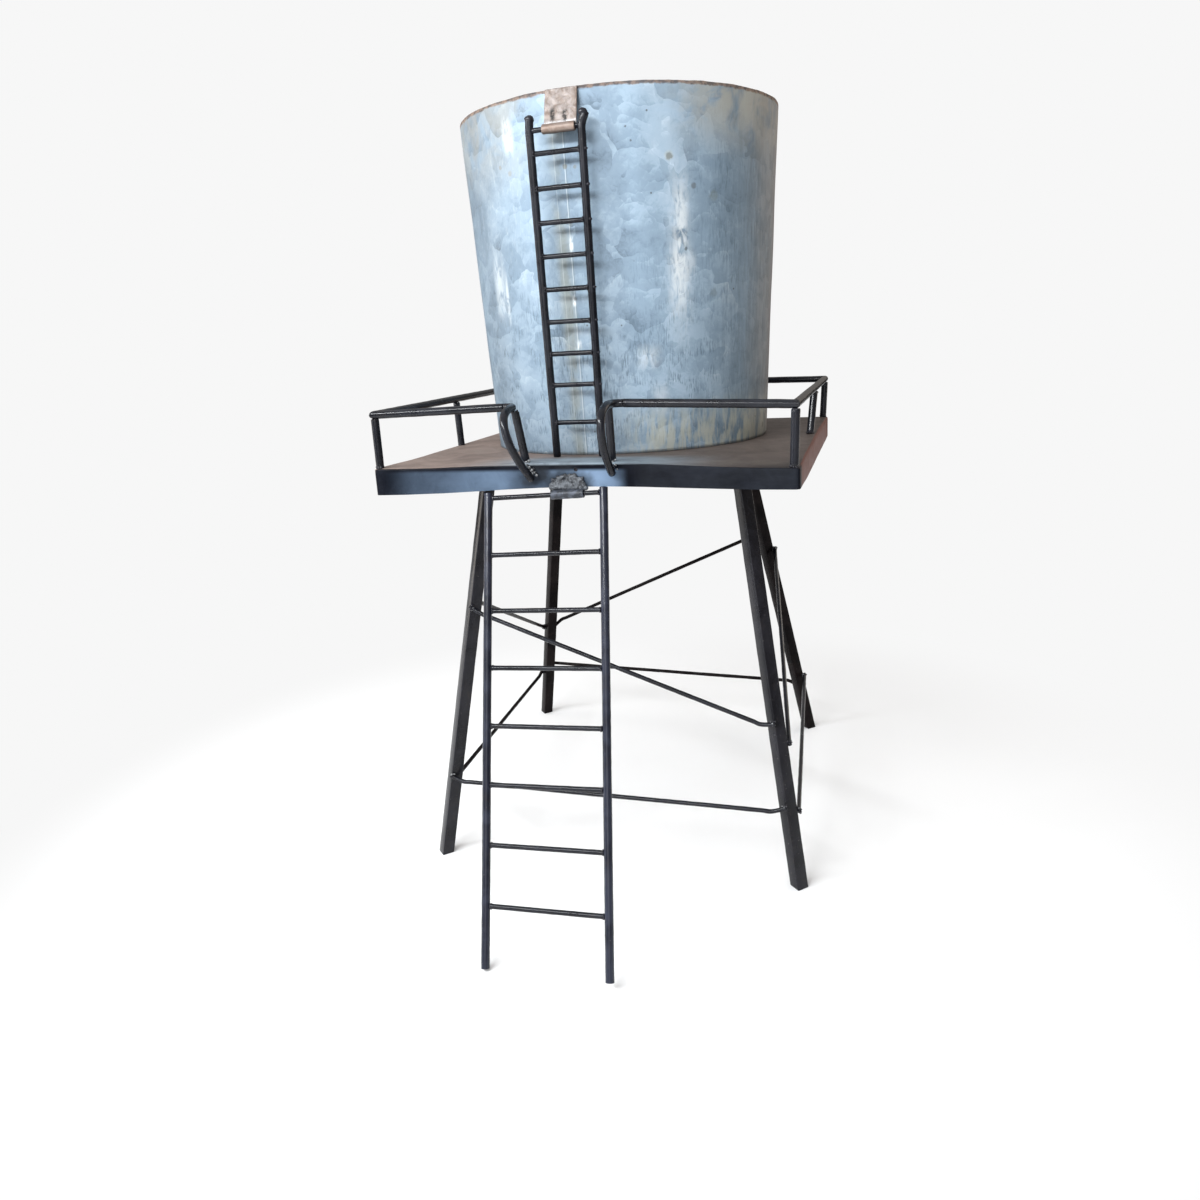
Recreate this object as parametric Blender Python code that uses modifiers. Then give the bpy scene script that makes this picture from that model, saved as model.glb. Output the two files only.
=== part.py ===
"""A welded sheet and rod model of a water tower: an open tank on a railed platform with four splayed legs.

Units are metres, +Z is up and the ladders are on the -Y side. The sizes below are taken from the ground
under the middle of the platform, and everything is parented to an empty that puts the world's origin on
the ground in the middle of the whole footprint, ladder included.
Run with: blender --background --python part.py
"""

import math

import bmesh
import bpy
from mathutils import Matrix, Vector

MM = 0.001
INCH = 0.0254
GAP = 0.3 * MM                      # left between pieces that are welded or rest on each other

# platform: one sheet pan with its edges folded down
PLATFORM_HALF = 8 * INCH
DECK_Z = 16.5 * INCH                # top of the deck
PAN_DEPTH = 23.8 * MM
PAN_SHEET = 1.6 * MM
PAN_CORNER_R = 4 * MM
PAN_FOLD_R = 2 * MM
PAN_FOLD_STEPS = 3
PAN_BOTTOM_Z = DECK_Z - PAN_DEPTH
PAN_GRID = 12

# the pan warped when it was welded: its edges rise between the corners, and the deck is flat under the tank
FRONT_CROWN = 5.6 * MM
FRONT_CROWN_X = 5 * MM              # where it is highest
FRONT_CROWN_REACH = 200 * MM        # from there to where it has died away
RIGHT_CROWN = 2.5 * MM
RIGHT_CROWN_Y = 50 * MM
RIGHT_CROWN_REACH = 170 * MM
TOP_DROP = 1.4 * MM                 # the front fold lies this much low in the middle, apart from the crown
TOP_SLOPE = -0.0100                 # and runs down to the right
BOTTOM_SLOPE = 0.0085               # while the bottom of the front apron runs up
WARP_STARTS = 150 * MM              # distance from the platform's middle lines where the warp begins
FRONT_WARP_STARTS = 122 * MM
CORNER_PUSH = 4.5 * MM              # the front left corner is pushed out to the left
CORNER_PUSH_STARTS = 120 * MM
DRILLED_HOLE = (1.5 * MM, 6.5 * MM)  # x, and depth under the deck, of a small hole through the front apron
DRILLED_HOLE_R = 2 * MM

# tank
TANK_CENTRE = Vector((-5 * MM, 29.5 * MM, 0))
TANK_BASE_R = 151 * MM
TANK_RIM_R = 167 * MM
TANK_HEIGHT = 332.4 * MM
TANK_SHEET = 1.2 * MM
TANK_STEPS = 96
TANK_BASE_Z = DECK_Z + GAP
TANK_RIM_Z = TANK_BASE_Z + TANK_HEIGHT
TANK_TAPER = (TANK_RIM_R - TANK_BASE_R) / TANK_HEIGHT

# stock: square bar for the legs, thick rod for rails and stiles, thin rod for braces and rungs
LEG_SIDE = 0.5 * INCH
LEG_TOP_Z = DECK_Z - PAN_SHEET - GAP
ROD_R = 5 / 32 * INCH
THIN_R = 3 / 32 * INCH
ROD_SIDES = 16
THIN_SIDES = 12

# leg axes, set by hand so no two match: (x, y) under the deck and (x, y) on the ground
LEGS = {
    "front_left": ((-118 * MM, -121 * MM), (-175 * MM, -197 * MM)),
    "front_right": ((135.5 * MM, -107 * MM), (200 * MM, -184.5 * MM)),
    "back_left": ((-121.5 * MM, 107.5 * MM), (-196.5 * MM, 186.5 * MM)),
    "back_right": ((102.5 * MM, 118.5 * MM), (180.5 * MM, 196.5 * MM)),
}

# braces: (leg, height on it, rise of the bent end) for both ends, and the side of the legs they join
BRACES = {
    "brace_front_level": (("front_left", 83.1 * MM, 5 * MM), ("front_right", 76.0 * MM, 5 * MM), (0, -1)),
    "brace_right_level": (("back_right", 78 * MM, 3 * MM), ("front_right", 74 * MM, 0), (1, 0)),
    "brace_back_level": (("back_left", 79 * MM, 0), ("back_right", 66 * MM, -6 * MM), (0, 1)),
    "brace_left_level": (("front_left", 73.5 * MM, 0), ("back_left", 65.5 * MM, 3 * MM), (-1, 0)),
    "brace_front_diagonal": (
        ("front_left", 264.4 * MM, 3 * MM), ("front_right", 155.3 * MM, 6 * MM), (0, -1)
    ),
    "brace_right_diagonal": (("back_right", 258 * MM, 4 * MM), ("front_right", 138 * MM, 0), (1, 0)),
    "brace_back_diagonal": (("back_left", 143 * MM, -6 * MM), ("back_right", 281.8 * MM, 0), (0, 1)),
    "brace_left_diagonal": (("front_left", 272.5 * MM, 3 * MM), ("back_left", 140 * MM, 0), (-1, 0)),
}
BRACE_OFFSET = 9.9 * MM             # from the leg axes to the rods, coped over the legs' outer edges
TUCKED_OFFSET = 4.4 * MM            # the left braces' front ends butt on the back of the leg
BRACE_BEND = 8 * MM                 # length of the bent end
BRACE_BEND_STEPS = 4

# railing
RAIL_HALF = PLATFORM_HALF - ROD_R
RAIL_Z = DECK_Z + 2 * INCH
GATE_LEFT_X = -55 * MM              # the ladder gate, in the middle of the front rail
GATE_RIGHT_X = 38 * MM
RAIL_LIFTS = {                      # the rails aren't level: how far each point lies over RAIL_Z
    "front_left": 2 * MM, "gate_left": 5 * MM, "gate_right": 5.4 * MM,
    "front_right": -0.3 * MM, "back_right": -4.2 * MM, "back_left": 2.9 * MM,
}
FRONT_LEFT_X = -RAIL_HALF - 2.8 * MM
POSTS = {                           # rail, share of the way along it, and (x, y) on the deck
    "post_front_left": ("rail_left", 0, (FRONT_LEFT_X, -RAIL_HALF)),
    "post_front_right": ("rail_right", 1, (RAIL_HALF - 1.5 * MM, -RAIL_HALF)),
    "post_back_left": ("rail_left", 1, (-RAIL_HALF, RAIL_HALF)),
    "post_back_right": ("rail_right", 0, (RAIL_HALF - 2 * MM, RAIL_HALF)),
    "post_left_middle": ("rail_left", 0.46, (-RAIL_HALF, -16 * MM)),
    "post_right_middle": ("rail_right", 0.46, (RAIL_HALF - 3 * MM, 4 * MM)),
    "post_back_middle": ("rail_back", 0.5, (0, RAIL_HALF)),
    "post_gate_left": ("gate_left", 0, (-52.3 * MM, -188.5 * MM)),
    "post_gate_right": ("gate_right", 0, (32.8 * MM, -189.5 * MM)),
}
GATE_POST_XS = {"gate_left": -55.4 * MM, "gate_right": 34.5 * MM}   # under the start of each hoop's bend

# grab hoops: the rail ends bowed out over the apron; (forward of the rail, below it) along the bow
HOOP_BOW = ((8, 0), (20, 1), (31, 5.5), (37, 13.5), (38, 23), (35, 34), (27.5, 46), (17.5, 57.5), (9.2, 65.5))
HOOP_BEND_R = 8 * MM
HOOP_BEND_STEPS = 5
HOOP_BOW_STEPS = 3
HOOP_STUB = 3 * MM                  # straight start, in line with the rail
HOOP_LEFT_DRIFT = 14.5 * MM         # how far the hoop's foot lies to the right of its rail end
HOOP_RIGHT_DRIFT = -0.4 * MM
HOOP_LEFT_DROP = 1                  # share of the drop in HOOP_BOW
HOOP_RIGHT_DROP = 0.94

# upper ladder, hung from a tab at the rim and standing on the deck
UPPER_X = -15.5 * MM
UPPER_STAND_OFF = 16 * MM           # from the tank to the stile axes
UPPER_TOP_WIDTH = 49.6 * MM         # between stile axes
UPPER_FOOT_WIDTH = 47 * MM
UPPER_TAB_X = -12 * MM
UPPER_TAB_WIDTH = 31 * MM
UPPER_TAB_SHEET = 1.5 * MM
UPPER_TAB_DROP = 0.6 * MM           # from the rim down to the top of the tab
UPPER_HUNG_Z = DECK_Z + 297.3 * MM  # axis of the rung inside the tab
UPPER_RUNG_PITCH = 29.6 * MM
UPPER_RUNGS = 8                     # evenly spaced ones, between the hung rung and the lowest
UPPER_FIRST_STEP = 19.4 * MM        # from the hung rung down to the next
UPPER_LOWEST_STEP = 36.1 * MM
UPPER_TIP = 10.5 * MM               # stile above the hung rung
UPPER_TIP_LEANS = {-1: 1.3 * MM, 1: 4.5 * MM}   # both tips lean to the right, the right one more
UPPER_TIP_HALFWAY = 0.4             # share of the lean at half the tip's height

# lower ladder, hinged on its top rung and leaning on the ground
HINGE_X = -6 * MM
HINGE_DROP = 5.9 * MM               # from the apron's bottom edge to the rung's axis
HINGE_ROLL = math.radians(2.8)      # the hinge was welded on a little crooked
LOWER_LEAN = math.radians(22.5)
LOWER_SIDE = math.radians(4.2)      # the stiles run down to the right, not quite square to the rungs
LOWER_OFFSET = -22.5 * MM           # middle of the ladder from the middle of the tab
LOWER_WIDTH = 4.5 * INCH            # between stile axes
LOWER_ABOVE = 4.5 * MM              # stile above the top rung
LOWER_RUNGS = 8
LOWER_FIRST_STEP = 54.7 * MM
LOWER_RUNG_PITCH = 52.5 * MM
HINGE_TAB_WIDTH = 1.25 * INCH
HINGE_TAB_SHEET = 1.5 * MM
HINGE_TAB_RISE = 9 * MM             # how far the tab runs up the apron
CURL_CLEARANCE = 0.4 * MM
CURL_TURN = math.radians(298)
CURL_STEPS = 20
HINGE_Y = -(PLATFORM_HALF + GAP + HINGE_TAB_SHEET + CURL_CLEARANCE + THIN_R)


# the middle of the platform, from the middle of the footprint
PLATFORM_CENTRE = Vector((-0.65 * MM, 83.55 * MM, 0))

BLACK_PAINT = ("black_paint", (0.018, 0.019, 0.022, 1), 0.38, 0.0)
GALVANISED = ("galvanised_sheet", (0.42, 0.47, 0.50, 1), 0.42, 0.85)
BARE_STEEL = ("bare_steel", (0.30, 0.25, 0.22, 1), 0.55, 0.7)


def clear_scene():
    for item in list(bpy.data.objects):
        bpy.data.objects.remove(item, do_unlink=True)


def make_collection(name):
    collection = bpy.data.collections.new(name)
    bpy.context.scene.collection.children.link(collection)
    return collection


def material(look):
    name, colour, roughness, metallic = look
    found = bpy.data.materials.get(name)
    if found:
        return found
    made = bpy.data.materials.new(name)
    made.use_nodes = True
    shader = made.node_tree.nodes["Principled BSDF"]
    shader.inputs["Base Color"].default_value = colour
    shader.inputs["Roughness"].default_value = roughness
    shader.inputs["Metallic"].default_value = metallic
    return made


def add_object(name, mesh, look, collection, matrix=None):
    item = bpy.data.objects.new(name, mesh)
    collection.objects.link(item)
    if look:
        mesh.materials.append(material(look))
    if matrix:
        item.matrix_world = matrix
    return item


def along(start, end):
    """The matrix whose +Z runs from start to end, with its origin at start."""
    turn = (end - start).to_track_quat("Z", "Y").to_matrix().to_4x4()
    return Matrix.Translation(start) @ turn


def rod_mesh(name, start, end, radius, sides, start_cut=None, end_cut=None):
    """A straight rod. A cut is the normal of the plane its end lies in; without one the end is square."""
    axis = (end - start).normalized()
    length = (end - start).length
    shape = bmesh.new()
    bmesh.ops.create_cone(
        shape, cap_ends=True, segments=sides, radius1=radius, radius2=radius, depth=length,
        matrix=along(start, end) @ Matrix.Translation((0, 0, length / 2)),
    )
    middle = (start + end) / 2
    for vertex in shape.verts:
        at_end = (vertex.co - middle).dot(axis) > 0
        point, cut = (end, end_cut) if at_end else (start, start_cut)
        if cut:
            vertex.co += axis * ((point - vertex.co).dot(cut) / axis.dot(cut))
    bmesh.ops.recalc_face_normals(shape, faces=shape.faces)
    mesh = bpy.data.meshes.new(name)
    shape.to_mesh(mesh)
    shape.free()
    smooth_round(mesh)
    return mesh


def smooth_round(mesh):
    mesh.shade_smooth()
    mesh.set_sharp_from_angle(angle=math.radians(40))


def add_rod(name, start, end, radius, look, collection, sides=THIN_SIDES, start_cut=None, end_cut=None):
    return add_object(name, rod_mesh(name, start, end, radius, sides, start_cut, end_cut), look, collection)


def add_bent_rod(name, points, radius, look, collection):
    """A rod along the points, as a mesh with welded caps."""
    curve = bpy.data.curves.new(name + "_path", "CURVE")
    curve.dimensions = "3D"
    curve.bevel_depth = radius
    curve.bevel_resolution = 3
    curve.use_fill_caps = True
    curve.render_resolution_u = 0
    spline = curve.splines.new("POLY")
    spline.points.add(len(points) - 1)
    for target, point in zip(spline.points, points):
        target.co = (*point, 1)
    guide = bpy.data.objects.new(name + "_path", curve)
    collection.objects.link(guide)
    bpy.context.view_layer.update()
    evaluated = guide.evaluated_get(bpy.context.evaluated_depsgraph_get())
    mesh = bpy.data.meshes.new_from_object(evaluated)
    mesh.name = name
    bpy.data.objects.remove(guide, do_unlink=True)
    shape = bmesh.new()
    shape.from_mesh(mesh)
    bmesh.ops.remove_doubles(shape, verts=shape.verts, dist=0.01 * MM)
    bmesh.ops.recalc_face_normals(shape, faces=shape.faces)
    shape.to_mesh(mesh)
    shape.free()
    mesh.materials.clear()
    smooth_round(mesh)
    return add_object(name, mesh, look, collection)


def smooth_path(points, steps):
    """Points on the Catmull-Rom curve through the given points, with steps points to each span."""
    padded = [2 * points[0] - points[1], *points, 2 * points[-1] - points[-2]]
    path = []
    for before, start, end, after in zip(padded, padded[1:], padded[2:], padded[3:]):
        for step in range(steps):
            t = step / steps
            bend = 2 * before - 5 * start + 4 * end - after
            twist = 3 * start - 3 * end + after - before
            path.append(0.5 * (2 * start + (end - before) * t + bend * t * t + twist * t ** 3))
    path.append(points[-1].copy())
    return path


def as_tool(item, tools):
    """Moves an object to the tools, so that it shapes others and isn't a piece itself."""
    for collection in item.users_collection:
        collection.objects.unlink(item)
    tools.objects.link(item)
    item.hide_render = True
    item.display_type = "WIRE"


def combine(item, tool, operation, tools):
    as_tool(tool, tools)
    boolean = item.modifiers.new(operation.lower() + "_" + tool.name, "BOOLEAN")
    boolean.operation = operation
    boolean.solver = "EXACT"
    boolean.object = tool


# ---------------------------------------------------------------- platform

def eased(value, start, end):
    """0 up to start, 1 from end on, and a smooth step between them."""
    share = min(max((value - start) / (end - start), 0), 1)
    return share * share * (3 - 2 * share)


def crown(distance, height, reach):
    return height * math.cos(math.pi / 2 * min(abs(distance) / reach, 1)) ** 2


def deck_rise(x, y):
    """How far the deck lies over DECK_Z."""
    front = crown(x - FRONT_CROWN_X, FRONT_CROWN, FRONT_CROWN_REACH) - TOP_DROP + TOP_SLOPE * x
    right = crown(y - RIGHT_CROWN_Y, RIGHT_CROWN, RIGHT_CROWN_REACH)
    front_share = eased(-y, FRONT_WARP_STARTS, PLATFORM_HALF)
    return front * front_share + right * eased(x, WARP_STARTS, PLATFORM_HALF)


def apron_bottom_z(x):
    """The height of the front apron's bottom edge."""
    return PAN_BOTTOM_Z + crown(x - FRONT_CROWN_X, FRONT_CROWN, FRONT_CROWN_REACH) + BOTTOM_SLOPE * x


def warp(point):
    """Where a point of the flat pan ends up, with z from 0 at the deck to -PAN_DEPTH at the bottom edge."""
    x, y, z = point
    front_share = eased(-y, FRONT_WARP_STARTS, PLATFORM_HALF)
    bottom_rise = (apron_bottom_z(x) - PAN_BOTTOM_Z) * front_share
    depth = -z / PAN_DEPTH
    push = CORNER_PUSH * eased(-x, CORNER_PUSH_STARTS, PLATFORM_HALF) * front_share
    return Vector((x - push, y, z + deck_rise(x, y) * (1 - depth) + bottom_rise * depth))


def build_platform(parts, tools):
    shape = bmesh.new()
    bmesh.ops.create_grid(shape, x_segments=PAN_GRID, y_segments=PAN_GRID, size=PLATFORM_HALF)
    outline = [edge for edge in shape.edges if edge.is_boundary]
    apron = bmesh.ops.extrude_edge_only(shape, edges=outline)["geom"]
    for vertex in apron:
        if isinstance(vertex, bmesh.types.BMVert):
            vertex.co.z -= PAN_DEPTH
    bmesh.ops.recalc_face_normals(shape, faces=shape.faces)
    corners = [
        edge for edge in shape.edges
        if abs(edge.verts[0].co.z - edge.verts[1].co.z) > PAN_DEPTH / 2
        and abs(abs(edge.verts[0].co.x) - abs(edge.verts[0].co.y)) < MM
    ]
    bmesh.ops.bevel(
        shape, geom=corners, offset=PAN_CORNER_R, segments=PAN_FOLD_STEPS, profile=0.5, affect="EDGES",
    )
    folds = [
        edge for edge in shape.edges
        if not edge.is_boundary and abs(edge.link_faces[0].normal.z - edge.link_faces[1].normal.z) > 0.5
    ]
    bmesh.ops.bevel(
        shape, geom=folds, offset=PAN_FOLD_R, segments=PAN_FOLD_STEPS, profile=0.5, affect="EDGES",
    )
    for vertex in shape.verts:
        vertex.co = warp(vertex.co)
    mesh = bpy.data.meshes.new("platform_pan")
    shape.to_mesh(mesh)
    shape.free()
    smooth_round(mesh)
    pan = add_object("platform_pan", mesh, BLACK_PAINT, parts, Matrix.Translation((0, 0, DECK_Z)))
    sheet = pan.modifiers.new("sheet", "SOLIDIFY")
    sheet.thickness = PAN_SHEET
    sheet.offset = -1
    sheet.use_even_offset = True
    x, depth = DRILLED_HOLE
    z = DECK_Z + deck_rise(x, -PLATFORM_HALF) - depth
    drill = add_rod(
        "front_apron_drill",
        Vector((x, -PLATFORM_HALF - 4 * PAN_SHEET, z)), Vector((x, -PLATFORM_HALF + 4 * PAN_SHEET, z)),
        DRILLED_HOLE_R, None, parts,
    )
    combine(pan, drill, "DIFFERENCE", tools)


# ---------------------------------------------------------------- tank

def build_tank(parts):
    outline = bmesh.new()
    rim = outline.verts.new((TANK_RIM_R, 0, TANK_HEIGHT))
    base = outline.verts.new((TANK_BASE_R, 0, 0))
    outline.edges.new((rim, base))
    mesh = bpy.data.meshes.new("tank_shell")
    outline.to_mesh(mesh)
    outline.free()
    place = Matrix.Translation(TANK_CENTRE + Vector((0, 0, TANK_BASE_Z)))
    shell = add_object("tank_shell", mesh, GALVANISED, parts, place)
    turned = shell.modifiers.new("turned", "SCREW")
    turned.steps = TANK_STEPS
    turned.render_steps = TANK_STEPS
    turned.use_merge_vertices = True
    turned.merge_threshold = 0.01 * MM
    sheet = shell.modifiers.new("sheet", "SOLIDIFY")
    sheet.thickness = TANK_SHEET
    sheet.offset = -1
    sheet.use_even_offset = True
    floor_r = TANK_BASE_R - TANK_SHEET - 2 * GAP
    low = TANK_CENTRE + Vector((0, 0, TANK_BASE_Z))
    add_rod(
        "tank_floor", low, low + Vector((0, 0, TANK_SHEET)), floor_r, GALVANISED, parts, sides=TANK_STEPS,
    )


def tank_surface_y(x, z):
    """The y of the tank's front face at this x and height."""
    radius = TANK_BASE_R + TANK_TAPER * (z - TANK_BASE_Z)
    return TANK_CENTRE.y - math.sqrt(radius ** 2 - (x - TANK_CENTRE.x) ** 2)


# ---------------------------------------------------------------- legs and braces

def leg_point(name, height):
    top, foot = LEGS[name]
    share = height / LEG_TOP_Z
    return Vector((foot[0] + (top[0] - foot[0]) * share, foot[1] + (top[1] - foot[1]) * share, height))


def leg_mesh(name, side):
    """A square bar with an edge to the front, sheared to its lean so that both ends stay level."""
    shape = bmesh.new()
    reach = side / math.sqrt(2)
    bmesh.ops.create_cone(
        shape, cap_ends=True, segments=4, radius1=reach, radius2=reach, depth=LEG_TOP_Z,
        matrix=Matrix.Translation((0, 0, LEG_TOP_Z / 2)),
    )
    for vertex in shape.verts:
        vertex.co += leg_point(name, vertex.co.z) * Vector((1, 1, 0))
    mesh = bpy.data.meshes.new("leg_" + name)
    shape.to_mesh(mesh)
    shape.free()
    return mesh


def build_legs(parts):
    for name in LEGS:
        add_object("leg_" + name, leg_mesh(name, LEG_SIDE), BLACK_PAINT, parts)


def build_braces(parts, tools):
    sockets = {name: leg_mesh(name, LEG_SIDE + 2 * GAP) for name in LEGS}
    for name, (start, end, side) in BRACES.items():
        outward = Vector((side[0], side[1], 0))
        start_offset = TUCKED_OFFSET if name.startswith("brace_left") else BRACE_OFFSET
        start_point = leg_point(start[0], start[1]) + outward * start_offset
        end_point = leg_point(end[0], end[1]) + outward * BRACE_OFFSET
        run = (end_point - start_point).normalized()
        inset = LEG_SIDE / 2 + BRACE_BEND
        start_bend = start_point + run * inset
        end_bend = end_point - run * inset
        start_tip = start_point + Vector((0, 0, start[2]))
        end_tip = end_point + Vector((0, 0, end[2]))
        path = smooth_path([start_tip, start_bend, start_bend + run * BRACE_BEND], BRACE_BEND_STEPS)
        path += smooth_path([end_bend - run * BRACE_BEND, end_bend, end_tip], BRACE_BEND_STEPS)
        rod = add_bent_rod(name, path, THIN_R, BLACK_PAINT, parts)
        for leg, _, _ in (start, end):
            face = add_object(name + "_" + leg + "_face", sockets[leg], None, parts)
            combine(rod, face, "DIFFERENCE", tools)


# ---------------------------------------------------------------- railing

def rail_lines():
    """The ends of each rail's axis, and the start of each hoop."""
    spots = {
        "front_left": (FRONT_LEFT_X, -RAIL_HALF),
        "gate_left": (GATE_LEFT_X - HOOP_BEND_R - HOOP_STUB, -RAIL_HALF),
        "gate_right": (GATE_RIGHT_X + HOOP_BEND_R + HOOP_STUB, -RAIL_HALF),
        "front_right": (RAIL_HALF, -RAIL_HALF),
        "back_right": (RAIL_HALF, RAIL_HALF),
        "back_left": (-RAIL_HALF, RAIL_HALF),
    }
    at = {name: Vector((*spot, RAIL_Z + RAIL_LIFTS[name])) for name, spot in spots.items()}
    lines = {
        "rail_front_left": (at["front_left"], at["gate_left"]),
        "rail_left": (at["front_left"], at["back_left"]),
        "rail_back": (at["back_left"], at["back_right"]),
        "rail_right": (at["back_right"], at["front_right"]),
        "rail_front_right": (at["front_right"], at["gate_right"]),
    }
    for gate, x in GATE_POST_XS.items():
        lines[gate] = (Vector((x, -RAIL_HALF, at[gate].z)), at[gate])
    return lines


def build_railing(parts):
    mitre = GAP / 2 * math.sqrt(2)
    rising = Vector((1, 1, 0))
    falling = Vector((1, -1, 0))
    cuts = {
        "rail_front_left": (falling, None), "rail_left": (falling, rising), "rail_back": (rising, falling),
        "rail_right": (falling, rising), "rail_front_right": (rising, None),
    }
    lines = rail_lines()
    for name, (start_cut, end_cut) in cuts.items():
        start, end = lines[name]
        run = (end - start).normalized()
        start = start + run * mitre
        end = end - run * (mitre if end_cut else GAP)
        add_rod(name, start, end, ROD_R, BLACK_PAINT, parts, ROD_SIDES, start_cut, end_cut)
    level = Vector((0, 0, 1))
    for name, (rail, share, (x, y)) in POSTS.items():
        start = Vector((x, y, DECK_Z + deck_rise(x, y) + GAP))
        end = lines[rail][0].lerp(lines[rail][1], share) - Vector((0, 0, ROD_R + GAP))
        add_rod(name, start, end, ROD_R, BLACK_PAINT, parts, ROD_SIDES, level, level)


def build_hoop(name, gate_x, side, drift, drop_share, high, parts):
    """A hoop from the rail's end at the gate, forward and down to the face of the apron."""
    path = [Vector((gate_x + side * (HOOP_BEND_R + HOOP_STUB), -RAIL_HALF, high))]
    for step in range(HOOP_BEND_STEPS):
        turn = math.pi / 2 * step / HOOP_BEND_STEPS
        x = gate_x + side * HOOP_BEND_R * (1 - math.sin(turn))
        path.append(Vector((x, -RAIL_HALF - HOOP_BEND_R * (1 - math.cos(turn)), high)))
    drop_all = HOOP_BOW[-1][1]
    bow = [
        Vector((gate_x + drift * drop / drop_all, -RAIL_HALF - forward * MM, high - drop_share * drop * MM))
        for forward, drop in HOOP_BOW
    ]
    add_bent_rod(name, path + smooth_path(bow, HOOP_BOW_STEPS), ROD_R, BLACK_PAINT, parts)


def build_hoops(parts):
    left_z = RAIL_Z + RAIL_LIFTS["gate_left"]
    right_z = RAIL_Z + RAIL_LIFTS["gate_right"]
    build_hoop("grab_hoop_left", GATE_LEFT_X, -1, HOOP_LEFT_DRIFT, HOOP_LEFT_DROP, left_z, parts)
    build_hoop("grab_hoop_right", GATE_RIGHT_X, 1, HOOP_RIGHT_DRIFT, HOOP_RIGHT_DROP, right_z, parts)


# ---------------------------------------------------------------- hanging tabs

def curl_outline(rise, sheet, inner_r):
    """The edge outline of a tab in its own plane: x is forward, y is up, the rung's axis is at (0, 0).

    The sheet runs down behind the rung, turns under it and comes back up to almost close the eye.
    """
    middle_r = inner_r + sheet / 2
    path = [(Vector((-middle_r, rise)), Vector((-1, 0)))]
    for step in range(CURL_STEPS + 1):
        angle = math.pi + CURL_TURN * step / CURL_STEPS
        outward = Vector((math.cos(angle), math.sin(angle)))
        path.append((outward * middle_r, outward))
    outer = [point + away * (sheet / 2) for point, away in path]
    inner = [point - away * (sheet / 2) for point, away in path]
    return outer + inner[::-1]


def add_tab(name, rise, width, sheet, matrix, look, parts):
    """A curled tab: the matrix takes (forward, up, along the rung) to the world."""
    curve = bpy.data.curves.new(name, "CURVE")
    curve.dimensions = "2D"
    curve.fill_mode = "BOTH"
    curve.extrude = width / 2
    outline = curl_outline(rise, sheet, THIN_R + CURL_CLEARANCE)
    spline = curve.splines.new("POLY")
    spline.points.add(len(outline) - 1)
    spline.use_cyclic_u = True
    for target, point in zip(spline.points, outline):
        target.co = (point.x, point.y, 0, 1)
    tab = bpy.data.objects.new(name, curve)
    parts.objects.link(tab)
    curve.materials.append(material(look))
    tab.matrix_world = matrix
    return tab


def tab_matrix(point, forward, rung_axis):
    """Forward, up, and back along the rung, as the tab's own X, Y and Z."""
    back_along = -rung_axis.normalized()
    up = back_along.cross(forward).normalized()
    forward = up.cross(back_along)
    turn = Matrix((forward, up, back_along)).transposed().to_4x4()
    return Matrix.Translation(point) @ turn


# ---------------------------------------------------------------- upper ladder

def upper_ladder_y(height):
    """The ladder stands off the tank and follows its taper."""
    return tank_surface_y(UPPER_X, height) - UPPER_STAND_OFF


def upper_stile_x(side, height):
    share = (height - DECK_Z) / (UPPER_HUNG_Z - DECK_Z)
    width = UPPER_FOOT_WIDTH + (UPPER_TOP_WIDTH - UPPER_FOOT_WIDTH) * share
    return UPPER_X + side * width / 2


def build_upper_ladder(parts, tools):
    stiles = []
    for side, name in ((-1, "upper_ladder"), (1, "upper_ladder_right_stile")):
        lean = UPPER_TIP_LEANS[side]
        foot_y = upper_ladder_y(DECK_Z)
        foot_z = DECK_Z + deck_rise(upper_stile_x(side, DECK_Z), foot_y - ROD_R) + GAP
        heights = (foot_z, UPPER_HUNG_Z, UPPER_HUNG_Z + UPPER_TIP / 2, UPPER_HUNG_Z + UPPER_TIP)
        points = [
            Vector((upper_stile_x(side, z) + shift, upper_ladder_y(z), z))
            for z, shift in zip(heights, (0, 0, lean * UPPER_TIP_HALFWAY, lean))
        ]
        stiles.append(add_bent_rod(name, points, ROD_R, BLACK_PAINT, parts))
    ladder, other = stiles
    combine(ladder, other, "UNION", tools)
    first = UPPER_HUNG_Z - UPPER_FIRST_STEP
    heights = [UPPER_HUNG_Z] + [first - UPPER_RUNG_PITCH * index for index in range(UPPER_RUNGS)]
    heights.append(heights[-1] - UPPER_LOWEST_STEP)
    for index, z in enumerate(heights):
        y = upper_ladder_y(z)
        start = Vector((upper_stile_x(-1, z), y, z))
        end = Vector((upper_stile_x(1, z), y, z))
        rung = add_rod(f"upper_ladder_rung_{index + 1}", start, end, THIN_R, None, parts)
        combine(ladder, rung, "UNION", tools)


def build_upper_tab(parts):
    """The tab leans back from the hung rung, so that its top edge touches the tank just under the rim."""
    point = Vector((UPPER_TAB_X, upper_ladder_y(UPPER_HUNG_Z), UPPER_HUNG_Z))
    top_z = TANK_RIM_Z - UPPER_TAB_DROP
    back_y = tank_surface_y(TANK_CENTRE.x, top_z) - GAP - point.y
    back_z = top_z - point.z
    behind = THIN_R + CURL_CLEARANCE + UPPER_TAB_SHEET
    rise = math.sqrt(back_y ** 2 + back_z ** 2 - behind ** 2)
    lean = math.atan2(back_y, back_z) - math.atan2(behind, rise)
    forward = Vector((0, -math.cos(lean), math.sin(lean)))
    add_tab(
        "upper_ladder_tab", rise, UPPER_TAB_WIDTH, UPPER_TAB_SHEET,
        tab_matrix(point, forward, Vector((1, 0, 0))), BARE_STEEL, parts,
    )


# ---------------------------------------------------------------- lower ladder

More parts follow.
